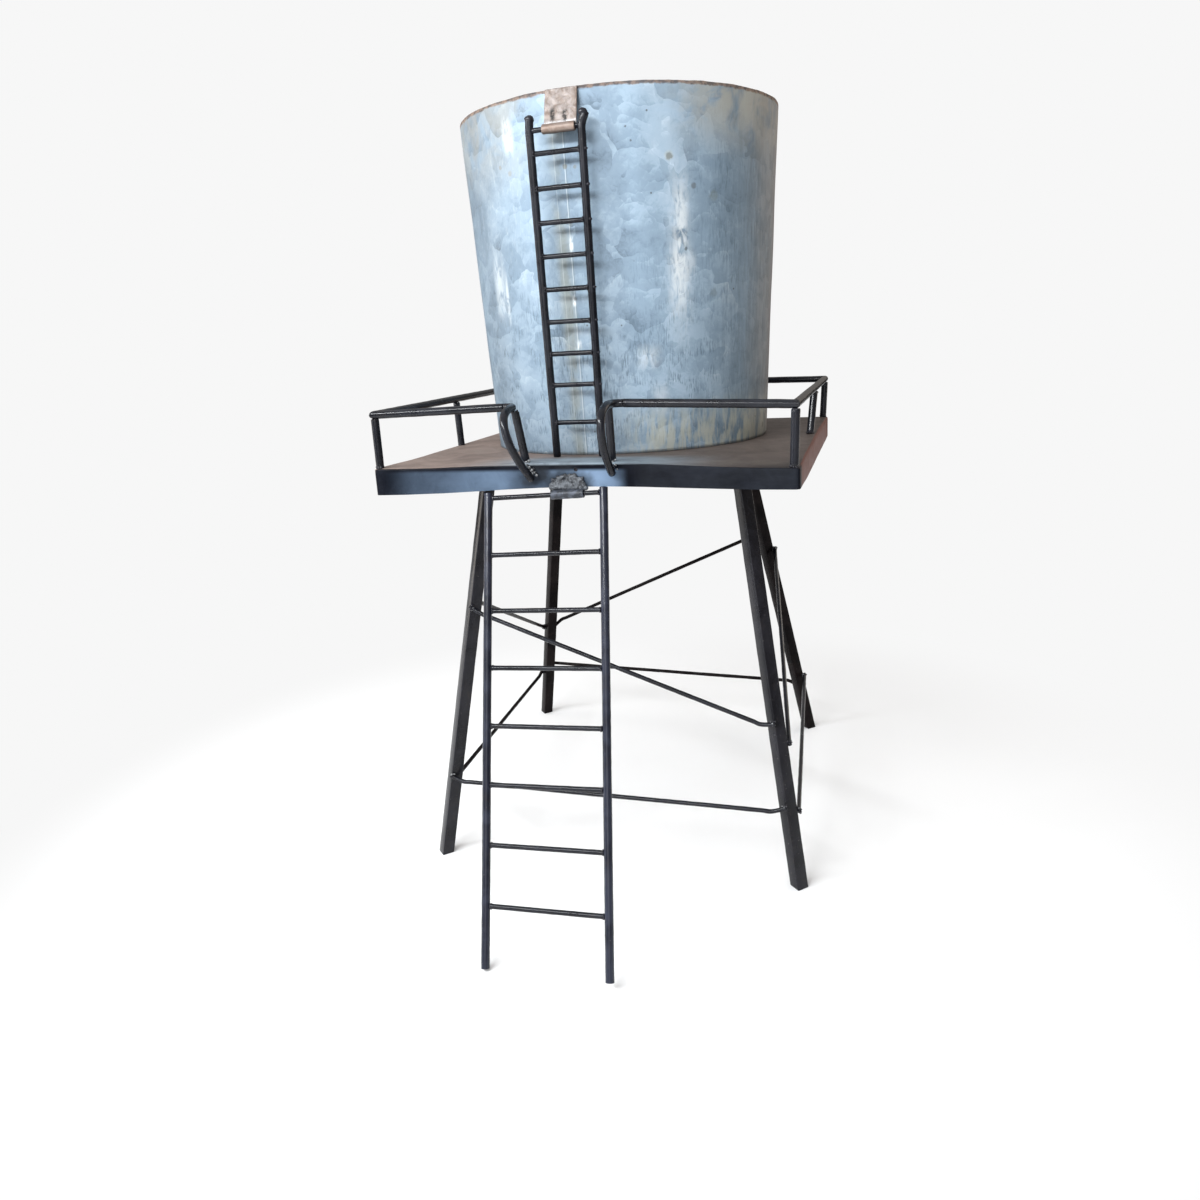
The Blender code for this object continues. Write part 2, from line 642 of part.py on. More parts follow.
def hinge_frame():
    """The hinge point, the rung's axis, and the direction down the stiles."""
    point = Vector((HINGE_X, HINGE_Y, apron_bottom_z(HINGE_X) - HINGE_DROP))
    rung = Vector((math.cos(HINGE_ROLL), 0, math.sin(HINGE_ROLL)))
    down = Vector((math.sin(LOWER_SIDE), -math.sin(LOWER_LEAN), -math.cos(LOWER_LEAN)))
    return point, rung, down.normalized()


def build_lower_ladder(parts):
    """Both stiles are one length. The crooked hinge stands the left one on the ground and lifts the right."""
    point, rung, down = hinge_frame()
    middle = point + rung * LOWER_OFFSET
    left_top = middle - rung * (LOWER_WIDTH / 2) - down * LOWER_ABOVE
    end_drop = ROD_R * math.sqrt(1 - down.z ** 2)
    length = (left_top.z - end_drop - GAP) / -down.z
    for top, word in ((left_top, "left"), (left_top + rung * LOWER_WIDTH, "right")):
        add_rod("lower_stile_" + word, top, top + down * length, ROD_R, BLACK_PAINT, parts, ROD_SIDES)
    reach = LOWER_WIDTH / 2 - ROD_R - GAP
    for index in range(LOWER_RUNGS):
        below = LOWER_FIRST_STEP + LOWER_RUNG_PITCH * (index - 1) if index else 0
        centre = middle + down * below
        name = f"lower_rung_{index + 1}"
        add_rod(name, centre - rung * reach, centre + rung * reach, THIN_R, BLACK_PAINT, parts)


def build_hinge_tab(parts):
    point, rung, _ = hinge_frame()
    rise = HINGE_DROP + HINGE_TAB_RISE
    add_tab(
        "ladder_hinge_tab", rise, HINGE_TAB_WIDTH, HINGE_TAB_SHEET,
        tab_matrix(point, Vector((0, -1, 0)), rung), BLACK_PAINT, parts,
    )


def main():
    clear_scene()
    parts = make_collection("water_tower")
    tools = make_collection("shaping_tools")
    build_platform(parts, tools)
    build_tank(parts)
    build_legs(parts)
    build_braces(parts, tools)
    build_railing(parts)
    build_hoops(parts)
    build_upper_ladder(parts, tools)
    build_upper_tab(parts)
    build_lower_ladder(parts)
    build_hinge_tab(parts)
    centre = bpy.data.objects.new("platform_centre", None)
    centre.location = PLATFORM_CENTRE
    parts.objects.link(centre)
    for item in (*parts.objects, *tools.objects):
        if item != centre:
            item.parent = centre


main()
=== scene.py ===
"""Looks for the welded model water tower: skin, welds, finish, camera and light around the frame."""

import math
import random

import bmesh
import bpy
from mathutils import Matrix, Vector, noise


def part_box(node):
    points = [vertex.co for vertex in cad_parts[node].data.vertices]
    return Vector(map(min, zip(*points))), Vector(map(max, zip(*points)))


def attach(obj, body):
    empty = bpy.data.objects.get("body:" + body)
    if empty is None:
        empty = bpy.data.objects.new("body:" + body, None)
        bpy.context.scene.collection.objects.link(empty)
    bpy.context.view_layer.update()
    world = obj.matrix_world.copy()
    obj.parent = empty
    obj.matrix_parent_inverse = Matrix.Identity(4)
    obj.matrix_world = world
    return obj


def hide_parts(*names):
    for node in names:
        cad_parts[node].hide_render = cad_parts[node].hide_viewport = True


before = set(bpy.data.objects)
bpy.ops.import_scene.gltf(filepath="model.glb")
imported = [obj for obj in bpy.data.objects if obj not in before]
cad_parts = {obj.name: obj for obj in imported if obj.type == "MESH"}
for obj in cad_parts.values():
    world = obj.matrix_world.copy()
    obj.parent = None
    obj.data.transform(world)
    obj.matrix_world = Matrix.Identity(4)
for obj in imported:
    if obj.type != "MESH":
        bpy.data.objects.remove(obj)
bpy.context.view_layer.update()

MM = 0.001
PLATFORM_CENTRE = Vector((-0.65 * MM, 83.55 * MM, 0))

HALF_PLATFORM = 203.2 * MM
APRON_Y = PLATFORM_CENTRE.y - HALF_PLATFORM         # front of the platform

# camera, seen from the front right and a little above the platform
CAMERA_PLACE = Vector((270.9 * MM, -1007.9 * MM, 537.3 * MM))       # from the middle of the platform
CAMERA_YAW = math.radians(17.734)
CAMERA_PITCH = math.radians(14.166)
CAMERA_ROLL = math.radians(-3.320)
CAMERA_LENS = 27.896
CAMERA_SHIFT = (0.0051, -0.0269)

# tank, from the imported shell
SHELL_LOW, SHELL_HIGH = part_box("tank_shell")
TANK = Vector(((SHELL_LOW.x + SHELL_HIGH.x) / 2, (SHELL_LOW.y + SHELL_HIGH.y) / 2, SHELL_LOW.z))
TANK_RIM_R = (SHELL_HIGH.x - SHELL_LOW.x) / 2
TANK_TAPER = 16 * MM
TANK_BASE_R = TANK_RIM_R - TANK_TAPER
TANK_HEIGHT = SHELL_HIGH.z - SHELL_LOW.z
TANK_SHEET = 1.2 * MM
TANK_COLUMNS = 360
TANK_ROWS = 100
LAP_RISE = 0.55 * MM                    # how far the lap of the seam stands out
RIM_BEVEL = 0.35 * MM
RIM_RISE = 0.15 * MM
SEAM_LEFT = -6.7                        # degrees around the tank from the front, to the right
SEAM_RIGHT = -3.2

FLOOR_RINGS, FLOOR_COLUMNS = 26, 144    # of the tank's floor

SEED = 7
STEP = 8 * MM                           # distance between cuts along a rod
LEG_STEP = 6 * MM
PAN_STEP = 11 * MM
END_CUT = 0.7 * MM                      # last cut before a rod's end
END_DEPTH = 3 * MM                      # how much of a rod counts as its end
LEG_BEVEL = 0.8 * MM
MERGE = 0.01 * MM
VOXEL = 0.5 * MM
BEND_SIZE = 90 * MM
SHARP = math.radians(38)
CREASE = 0.7
PAN_SHARP = math.radians(50)
ALONG_X, ALONG_Y, ALONG_Z = Vector((1, 0, 0)), Vector((0, 1, 0)), Vector((0, 0, 1))

noise.seed_set(SEED)                    # noise_vector differs from run to run without it


# ---------------------------------------------------------------- camera

def make_camera():
    data = bpy.data.cameras.new("camera")
    data.sensor_width = 36
    data.lens = CAMERA_LENS
    data.shift_x, data.shift_y = CAMERA_SHIFT
    data.clip_start = 0.01
    camera = bpy.data.objects.new("camera", data)
    bpy.context.scene.collection.objects.link(camera)
    ahead = Vector((
        -math.sin(CAMERA_YAW) * math.cos(CAMERA_PITCH),
        math.cos(CAMERA_YAW) * math.cos(CAMERA_PITCH),
        -math.sin(CAMERA_PITCH),
    ))
    level = Vector((math.cos(CAMERA_YAW), math.sin(CAMERA_YAW), 0))
    upright = level.cross(ahead)
    right = math.cos(CAMERA_ROLL) * level + math.sin(CAMERA_ROLL) * upright
    up = math.cos(CAMERA_ROLL) * upright - math.sin(CAMERA_ROLL) * level
    turn = Matrix((right, up, -ahead)).transposed().to_4x4()
    camera.matrix_world = Matrix.Translation(CAMERA_PLACE + PLATFORM_CENTRE) @ turn
    bpy.context.scene.camera = camera


# ---------------------------------------------------------------- materials

class Finish:
    """A material, with short calls for the nodes used here. Values are numbers, tuples or sockets."""

    def __init__(self, name, metallic=0.0, specular=0.5):
        self.material = bpy.data.materials.new(name)
        self.material.use_nodes = True
        self.tree = self.material.node_tree
        self.shader = self.tree.nodes["Principled BSDF"]
        self.shader.inputs["Metallic"].default_value = metallic
        self.shader.inputs["Specular IOR Level"].default_value = specular
        self.place = self.tree.nodes.new("ShaderNodeTexCoord").outputs["Object"]

    def feed(self, socket, value):
        if isinstance(value, bpy.types.NodeSocket):
            self.tree.links.new(value, socket)
        elif isinstance(value, (tuple, Vector)) and socket.type == "RGBA":
            socket.default_value = (*value, 1)
        else:
            socket.default_value = value

    def math(self, operation, *values):
        made = self.tree.nodes.new("ShaderNodeMath")
        made.operation = operation
        for socket, value in zip(made.inputs, values):
            self.feed(socket, value)
        return made.outputs[0]

    def times(self, *values):
        return self.math("MULTIPLY", *values)

    def vector(self, operation, *values):
        made = self.tree.nodes.new("ShaderNodeVectorMath")
        made.operation = operation
        for socket, value in zip(made.inputs, values):
            self.feed(socket, value)
        return made.outputs["Value" if operation in ("DISTANCE", "DOT_PRODUCT", "LENGTH") else "Vector"]

    def axes(self, place=None):
        made = self.tree.nodes.new("ShaderNodeSeparateXYZ")
        self.feed(made.inputs[0], place or self.place)
        return made.outputs[0], made.outputs[1], made.outputs[2]

    def step(self, value, low, high):
        """0 below low, 1 over high, smooth between; the other way round when low is the larger."""
        made = self.tree.nodes.new("ShaderNodeMapRange")
        made.interpolation_type = "SMOOTHSTEP"
        self.feed(made.inputs["Value"], value)
        ends = (low, high, 0.0, 1.0) if low < high else (high, low, 1.0, 0.0)
        for name, end in zip(("From Min", "From Max", "To Min", "To Max"), ends):
            made.inputs[name].default_value = end
        return made.outputs["Result"]

    def band(self, value, low, high, soft):
        """1 between low and high, 0 outside, with both edges soft."""
        rise = self.step(value, low - soft, low + soft)
        return self.times(rise, self.step(value, high + soft, high - soft))

    def noise(self, size, detail=3.0, rough=0.55, distortion=0.0, stretch=(1, 1, 1), colour=False):
        """Noise whose blotches are about size across; stretch lengthens them along an axis."""
        made = self.tree.nodes.new("ShaderNodeTexNoise")
        scale = tuple(1 / (size * part) for part in stretch)
        self.feed(made.inputs["Vector"], self.vector("MULTIPLY", self.place, scale))
        made.inputs["Scale"].default_value = 1
        made.inputs["Detail"].default_value = detail
        made.inputs["Roughness"].default_value = rough
        made.inputs["Distortion"].default_value = distortion
        return made.outputs["Color" if colour else "Fac"]

    def voronoi(self, size, place):
        """The place in cells, the texture node, and two random numbers of each cell."""
        small = self.vector("MULTIPLY", place, (1 / size, 1 / size, 1 / size))
        made = self.tree.nodes.new("ShaderNodeTexVoronoi")
        self.feed(made.inputs["Vector"], small)
        made.inputs["Scale"].default_value = 1
        apart = self.tree.nodes.new("ShaderNodeSeparateColor")
        self.feed(apart.inputs[0], made.outputs["Color"])
        return small, made, apart.outputs[0], apart.outputs[1]

    def cells(self, size):
        """Distance to the nearest cell's middle, and the cell's own random number."""
        _, made, chance, _ = self.voronoi(size, self.place)
        return made.outputs["Distance"], chance

    def petals(self, size, place, lit):
        """A number that runs from dark to light across each cell along lit, turned over in some cells."""
        small, made, chance, other = self.voronoi(size, place)
        inside = self.vector("SUBTRACT", small, made.outputs["Position"])
        across = self.vector("DOT_PRODUCT", inside, lit)
        sway = self.math("MULTIPLY_ADD", other, 1.6, -0.5)
        return self.times(across, sway), chance

    def warped(self, size, reach):
        """The place, pushed about by up to reach."""
        push = self.vector("SUBTRACT", self.noise(size, 2.0, colour=True), (0.5, 0.5, 0.5))
        return self.vector("ADD", self.place, self.vector("MULTIPLY", push, (reach, reach, reach)))

    def mix(self, share, below, over):
        made = self.tree.nodes.new("ShaderNodeMix")
        made.data_type = "RGBA"
        self.feed(made.inputs[0], share)
        self.feed(made.inputs[6], below)
        self.feed(made.inputs[7], over)
        return made.outputs[2]

    def ramp(self, value, stops):
        made = self.tree.nodes.new("ShaderNodeValToRGB")
        self.feed(made.inputs[0], value)
        made.color_ramp.interpolation = "EASE"
        while len(made.color_ramp.elements) < len(stops):
            made.color_ramp.elements.new(0.5)
        for element, (at, colour) in zip(made.color_ramp.elements, stops):
            element.position = at
            element.color = (*colour, 1)
        return made.outputs["Color"]

    def spot(self, point, radius, soft=0.35, ragged=0.5):
        """1 within about radius of a point, 0 outside, with a ragged edge."""
        far = self.vector("DISTANCE", self.place, tuple(point))
        edge = self.noise(radius * 0.9, 2.0)
        wander = self.math("MULTIPLY_ADD", edge, radius * ragged * 2, -radius * ragged)
        return self.step(self.math("ADD", far, wander), radius * (1 + soft), radius * (1 - soft))

    def finish(self, colour, roughness, height=None, depth=0.1 * MM, strength=1.0):
        self.feed(self.shader.inputs["Base Color"], colour)
        self.feed(self.shader.inputs["Roughness"], roughness)
        if height is not None:
            bump = self.tree.nodes.new("ShaderNodeBump")
            bump.inputs["Strength"].default_value = strength
            bump.inputs["Distance"].default_value = depth
            self.feed(bump.inputs["Height"], height)
            self.feed(self.shader.inputs["Normal"], bump.outputs["Normal"])
        return self.material


# colours of the sheet, from dark to light, and of what lies on it
ZINC_TONES = (
    (0.26, (0.128, 0.182, 0.240)),
    (0.44, (0.228, 0.312, 0.396)),
    (0.57, (0.312, 0.408, 0.500)),
    (0.78, (0.480, 0.570, 0.650)),
)
ZINC_FEATHER = (0.66, 0.72, 0.74)
ZINC_SCRATCH = (0.090, 0.140, 0.185)
# painted shade of the tank's right side
ZINC_SHADED = (0.090, 0.130, 0.165)
# painted brown reflection near the tank's sides
ZINC_BROWN_REFLECTION = (0.230, 0.180, 0.150)
ZINC_BEIGE = (0.400, 0.375, 0.310)
ZINC_YELLOW = (0.520, 0.510, 0.400)
# painted highlights and rubbed marks on the zinc
ZINC_RUBBED_AND_HIGHLIGHT = (0.82, 0.86, 0.87)
ZINC_SPECK = (0.07, 0.075, 0.07)
SEAM_STAIN = (0.370, 0.370, 0.290)
SEAM_SHADE = (0.12, 0.15, 0.17)
SOLDER = (0.70, 0.76, 0.78)
RUST_PALE, RUST_DARK = (0.23, 0.15, 0.105), (0.075, 0.05, 0.04)
BASE_DARK = (0.16, 0.16, 0.15)
# colours of the black paint, before its tint, and of what lies on it
PAINT_DARK, PAINT_PALE = (0.0040, 0.0045, 0.0070), (0.0120, 0.0130, 0.0180)
PAINT_DUST = (0.028, 0.022, 0.019)
PAINT_CHIP = (0.200, 0.185, 0.175)
# colours of the platform
PAN_DARK, PAN_PALE = (0.0020, 0.0026, 0.0050), (0.0060, 0.0072, 0.0115)
PAN_SPECK = (0.50, 0.52, 0.54)
# painted brown reflection on the pan's right side
PAN_SIDE_REFLECTION = (0.155, 0.066, 0.052)
PAN_SCORCH = (0.018, 0.020, 0.024)
# painted reflections on the deck
DECK_LEFT, DECK_RIGHT = (0.270, 0.207, 0.180), (0.112, 0.090, 0.079)
DECK_FRONT = (0.240, 0.305, 0.360)
DECK_PALE_REFLECTION = (0.190, 0.165, 0.140)
DECK_GRIME = (0.052, 0.047, 0.045)
DECK_STAIN = (0.230, 0.190, 0.165)
# painted highlight on the front apron
APRON_HIGHLIGHT = (0.180, 0.258, 0.375)
APRON_ARRIS_HIGHLIGHT = (0.30, 0.33, 0.38)
# colours of the tabs and welds
TAB_DRIP = (0.012, 0.011, 0.011)
TAB_CURL = (0.200, 0.135, 0.100)
TAB_WELD = (0.56, 0.56, 0.57)
# painted shade under the tab's curl
TAB_SHADE_UNDER = (0.030, 0.022, 0.018)
WELD_DARK, WELD_PALE = (0.040, 0.040, 0.044), (0.36, 0.37, 0.38)
RIM_PALE, RIM_DARK = (0.300, 0.265, 0.250), (0.19, 0.145, 0.120)
HINGE_PALE, HINGE_DARK = (0.075, 0.085, 0.110), (0.022, 0.025, 0.032)
SCORCHED_PALE, SCORCHED_DARK = (0.115, 0.125, 0.140), (0.020, 0.022, 0.026)
# tints of the black paint
# painted shade with a painted brown reflection on the back legs and the left and back braces
BACK_SHADE_TINT = (0.9, 0.6, 0.45)
# painted pale blue grey sheen on the lower ladder's stiles
STILE_SHEEN_TINT = (1.9, 2.0, 2.3)
LEG_TINT = (1.1, 1.0, 0.95)
WELD_TINT = (1.8, 1.6, 1.5)


def tank_radius(height):
    return TANK_BASE_R + (TANK_RIM_R - TANK_BASE_R) * height / TANK_HEIGHT


def tank_point(degrees, height):
    """A point on the outside of the tank."""
    turn = math.radians(degrees)
    radius = tank_radius(height)
    return TANK + Vector((radius * math.sin(turn), -radius * math.cos(turn), height))


def galvanised():
    made = Finish("galvanised_sheet", metallic=0.30, specular=0.45)
    x, y, height = made.axes(made.vector("SUBTRACT", made.place, tuple(TANK)))
    turn = made.times(made.math("ARCTAN2", x, made.times(y, -1.0)), math.degrees(1))
    # zinc crystals: petals with a light edge, over broader patches
    large, chance = made.petals(30 * MM, made.warped(30 * MM, 34 * MM), (0.5, 0.2, 0.85))
    small, other = made.petals(11 * MM, made.warped(13 * MM, 16 * MM), (-0.3, 0.4, 0.85))
    patch = made.noise(85 * MM, 3.0, 0.6, 0.8)
    mottle = made.noise(5 * MM, 4.0, 0.65, 1.0)
    tone = made.math("MULTIPLY_ADD", chance, 0.10, made.math("MULTIPLY_ADD", patch, 0.52, 0.09))
    tone = made.math("MULTIPLY_ADD", large, 0.22, tone)
    tone = made.math("MULTIPLY_ADD", small, 0.13, tone)
    tone = made.math("MULTIPLY_ADD", mottle, 0.20, tone)
    colour = made.ramp(tone, ZINC_TONES)
    # feathery streaks high on the left, fine upright scratches lower down and to the right
    feather = made.noise(2.2 * MM, 4.0, 0.7, 1.5, stretch=(1, 1, 7))
    left_high = made.times(made.step(turn, -8.0, -30.0), made.step(height, 0.12, 0.26))
    share = made.times(made.times(made.step(feather, 0.50, 0.72), left_high), 0.35)
    colour = made.mix(share, colour, ZINC_FEATHER)
    scratch = made.noise(1.25 * MM, 2.0, 0.6, 0.0, stretch=(1, 1, 9))
    gathered = made.step(made.noise(24 * MM, 3.0, 0.6, 1.0), 0.42, 0.62)
    lower = made.math("MAXIMUM", made.step(height, 0.24, 0.08), made.step(turn, 30.0, 56.0))
    share = made.times(made.step(scratch, 0.49, 0.60), made.times(gathered, lower))
    colour = made.mix(made.times(share, 0.66), colour, ZINC_SCRATCH)
    # painted shade: the right side is made darker, with upright streaks
    streak = made.noise(5 * MM, 3.0, 0.6, 0.4, stretch=(1, 1, 9))
    right = made.times(made.step(turn, 30.0, 66.0), made.step(turn, 176.0, 120.0))
    shaded_streaks = made.times(right, made.math("MULTIPLY_ADD", streak, 0.8, 0.28))
    colour = made.mix(shaded_streaks, colour, ZINC_SHADED)
    # painted reflection: brown near both sides; grey beige under the rim
    side = made.math("MAXIMUM", made.band(turn, *BROWN_REFLECTION_RIGHT), made.band(turn, *BROWN_REFLECTION_LEFT))
    colour = made.mix(made.times(side, 0.50), colour, ZINC_BROWN_REFLECTION)
    cast = made.noise(32 * MM, 3.0, 0.6, 0.7)
    upper = made.times(made.step(height, 0.262, 0.322), made.step(turn, 22.0, 52.0))
    upper_left = made.times(made.step(height, 0.235, 0.320), made.step(turn, -9.0, -27.0))
    upper = made.math("MAXIMUM", upper, made.times(upper_left, 0.75))
    upper = made.times(upper, made.step(cast, 0.34, 0.60))
    colour = made.mix(made.times(upper, 0.66), colour, ZINC_BEIGE)
    # yellowish cast low down on the right and beside the seam
    low = made.times(made.step(height, 0.058, 0.016), made.step(turn, 4.0, 26.0))
    low = made.times(low, made.step(turn, 100.0, 84.0))
    drips = made.noise(7 * MM, 3.0, 0.65, 0.3, stretch=(1, 1, 5))
    low = made.times(low, made.step(drips, 0.36, 0.58))
    colour = made.mix(made.times(low, 0.60), colour, ZINC_YELLOW)
    seam = made.band(turn, SEAM_LEFT - 1.5, SEAM_RIGHT - 0.3, 1.8)
    patchy = made.noise(30 * MM, 3.0, 0.6, stretch=(1, 1, 2))
    seam = made.times(seam, made.step(patchy, 0.36, 0.62))
    colour = made.mix(made.times(seam, 0.50), colour, SEAM_STAIN)
    # bright edges of the lap, with solder
    near_edge = made.band(turn, SEAM_RIGHT - 0.10, SEAM_RIGHT + 0.16, 0.10)
    far_edge = made.times(made.band(turn, SEAM_LEFT - 0.1, SEAM_LEFT + 0.1, 0.12), 0.6)
    edge = made.math("MAXIMUM", near_edge, far_edge)
    colour = made.mix(made.times(edge, 0.62), colour, SOLDER)
    under = made.band(turn, SEAM_RIGHT + 0.30, SEAM_RIGHT + 0.55, 0.12)
    colour = made.mix(made.times(under, 0.45), colour, SEAM_SHADE)
    # painted light and shade: the zinc is made lighter in some broad upright bands and darker in others
    span = SHADES_TO - SHADES_FROM
    around = made.math("MULTIPLY_ADD", turn, 1 / span, -SHADES_FROM / span)
    colour = made.vector("MULTIPLY", colour, made.ramp(around, TANK_PAINTED_LIGHT))
    # bright patches: painted highlights in the upright streaks at 33 to 38 and at -38 to -33 degrees, and
    # rubbed marks and solder elsewhere
    for degrees, at, tall, wide, strength in RUBBED_AND_HIGHLIGHTS:
        across = made.band(turn, degrees - wide, degrees + wide, wide * 0.8)
        near = made.times(across, made.band(height, at - tall, at + tall, tall * 0.6))
        broken = made.noise(6 * MM, 3.0, 0.6, 0.9, stretch=(1, 1, 3))
        near = made.times(near, made.step(broken, 0.30, 0.58))
        colour = made.mix(made.times(near, strength), colour, ZINC_RUBBED_AND_HIGHLIGHT)
    # stains and dark specks
    for degrees, at, radius, stain, strength in STAINS:
        mark = made.spot(tank_point(degrees, at), radius)
        colour = made.mix(made.times(mark, 0.8 * strength), colour, stain)
    speck_far, speck_chance = made.cells(16 * MM)
    speck = made.times(made.step(speck_far, 0.075, 0.045), made.step(speck_chance, 0.72, 0.76))
    colour = made.mix(made.times(speck, 0.75), colour, ZINC_SPECK)
    # brown rust on the raw rim, darker grey along the base
    rim_edge = made.math("MULTIPLY_ADD", made.noise(9 * MM, 3.0, 0.7), 5.0 * MM, -2.2 * MM)
    rust = made.step(made.math("ADD", height, rim_edge), TANK_HEIGHT - 3.3 * MM, TANK_HEIGHT - 1.6 * MM)
    nick = made.step(made.noise(5 * MM, 2.0, 0.6), 0.42, 0.62)
    rusty = made.mix(nick, RUST_PALE, RUST_DARK)
    colour = made.mix(made.times(rust, 0.85), colour, rusty)
    base_band_edge = made.math("MULTIPLY_ADD", made.noise(14 * MM, 3.0, 0.7), 6 * MM, -2 * MM)
    base_band = made.step(made.math("ADD", height, base_band_edge), 4.2 * MM, 0.6 * MM)
    colour = made.mix(made.times(base_band, 0.55), colour, BASE_DARK)
    roughness = made.math("MULTIPLY_ADD", other, 0.12, made.math("MULTIPLY_ADD", patch, 0.18, 0.36))
    roughness = made.math("ADD", roughness, made.times(made.math("MAXIMUM", rust, base_band), 0.25))
    relief = made.math("MULTIPLY_ADD", mottle, 0.35, made.times(scratch, 0.25))
    relief = made.math("SUBTRACT", relief, made.times(speck, 0.6))
    return made.finish(colour, roughness, relief, 0.12 * MM, 0.8)


# painted light and shade around the tank: how much the zinc is lightened and darkened, from SHADES_FROM
# (0) to SHADES_TO (1) degrees
SHADES_FROM, SHADES_TO = -90, 100
TANK_PAINTED_LIGHT = tuple((at, (shade, shade, shade)) for at, shade in (
    (0.0, 0.85), (0.18, 0.72), (0.24, 0.64), (0.32, 0.78), (0.43, 0.80), (0.53, 0.84),
    (0.58, 1.08), (0.64, 1.16), (0.71, 1.18), (0.79, 1.12), (0.87, 0.58), (1.0, 0.90),
))
# the painted brown reflection near each side: from and to, in degrees around the tank, and how soft the
# edges are
BROWN_REFLECTION_RIGHT = (84.0, 108.0, 9.0)
BROWN_REFLECTION_LEFT = (-92.0, -66.0, 8.0)
# painted highlights and rubbed marks: degrees around the tank, height, half height, half width in
# degrees, strength
RUBBED_AND_HIGHLIGHTS = (
    (34.5, 0.206, 0.034, 1.9, 0.62),
    (33.5, 0.166, 0.026, 2.6, 0.62),
    (34.0, 0.188, 0.070, 3.6, 0.28),
    (38.0, 0.175, 0.010, 1.6, 0.30),
    (-38.0, 0.168, 0.026, 3.0, 0.34),
    (-33.5, 0.155, 0.020, 0.8, 0.40),
    (-24.5, 0.300, 0.014, 2.0, 0.40),
    (-3.0, 0.200, 0.006, 0.6, 0.85),
    (-3.2, 0.107, 0.004, 1.0, 0.80),
    (-3.4, 0.148, 0.004, 0.5, 0.80),
    (22.0, 0.092, 0.010, 3.5, 0.30),
    (26.0, 0.052, 0.012, 2.5, 0.34),
)
# degrees around the tank, height, radius, colour, strength
STAINS = (
    (30.6, 0.2705, 4.2 * MM, (0.46, 0.50, 0.46), 0.55),
    (30.8, 0.2700, 3.1 * MM, (0.150, 0.150, 0.125), 0.80),
    (39.2, 0.2445, 2.6 * MM, (0.10, 0.105, 0.095), 0.70),
    (47.0, 0.2360, 5.0 * MM, (0.150, 0.175, 0.145), 0.45),
    (36.2, 0.1895, 1.6 * MM, (0.06, 0.065, 0.06), 0.85),
    (47.2, 0.1490, 4.0 * MM, (0.120, 0.145, 0.120), 0.40),
    (36.0, 0.1930, 2.6 * MM, (0.20, 0.25, 0.27), 0.35),
    (-3.4, 0.1560, 2.2 * MM, (0.10, 0.115, 0.12), 0.65),
    (-2.9, 0.1500, 1.7 * MM, (0.10, 0.115, 0.12), 0.65),
    (-2.6, 0.2170, 1.8 * MM, (0.16, 0.18, 0.18), 0.60),
    (-3.1, 0.2670, 2.2 * MM, (0.12, 0.11, 0.07), 0.75),
    (0.2, 0.2660, 1.6 * MM, (0.14, 0.13, 0.09), 0.60),
    (-29.5, 0.2760, 2.0 * MM, (0.20, 0.17, 0.13), 0.60),
    (-25.0, 0.2690, 2.4 * MM, (0.24, 0.21, 0.15), 0.55),
    (-46.5, 0.0060, 3.0 * MM, (0.05, 0.05, 0.05), 0.80),
    (82.5, 0.0120, 3.0 * MM, (0.05, 0.05, 0.05), 0.75),
    (17.0, 0.2960, 1.0 * MM, (0.05, 0.05, 0.05), 0.80),
    (18.5, 0.2840, 0.9 * MM, (0.05, 0.05, 0.05), 0.80),
)


def black_paint(name="black_paint", tint=(1.0, 1.0, 1.0), wear=0.5, specular=0.27):
    made = Finish(name, metallic=0.0, specular=specular)
    blotch = made.noise(34 * MM, 3.0, 0.6, 0.6)
    fine = made.noise(2.6 * MM, 3.0, 0.65)
    dark = tuple(part * shade for part, shade in zip(tint, PAINT_DARK))
    pale = tuple(part * shade for part, shade in zip(tint, PAINT_PALE))
    colour = made.mix(made.step(blotch, 0.34, 0.66), dark, pale)
    dust = made.times(made.step(made.noise(11 * MM, 4.0, 0.7, 0.8), 0.50, 0.74), 0.30)
    colour = made.mix(dust, colour, PAINT_DUST)
    chip = made.times(made.step(made.noise(2.6 * MM, 3.0, 0.7), 0.70, 0.74), wear)
    colour = made.mix(chip, colour, PAINT_CHIP)
    roughness = made.math("MULTIPLY_ADD", blotch, 0.14, made.math("MULTIPLY_ADD", fine, 0.06, 0.14))
    return made.finish(colour, roughness, made.math("MULTIPLY_ADD", fine, 0.3, blotch), 0.10 * MM, 0.5)


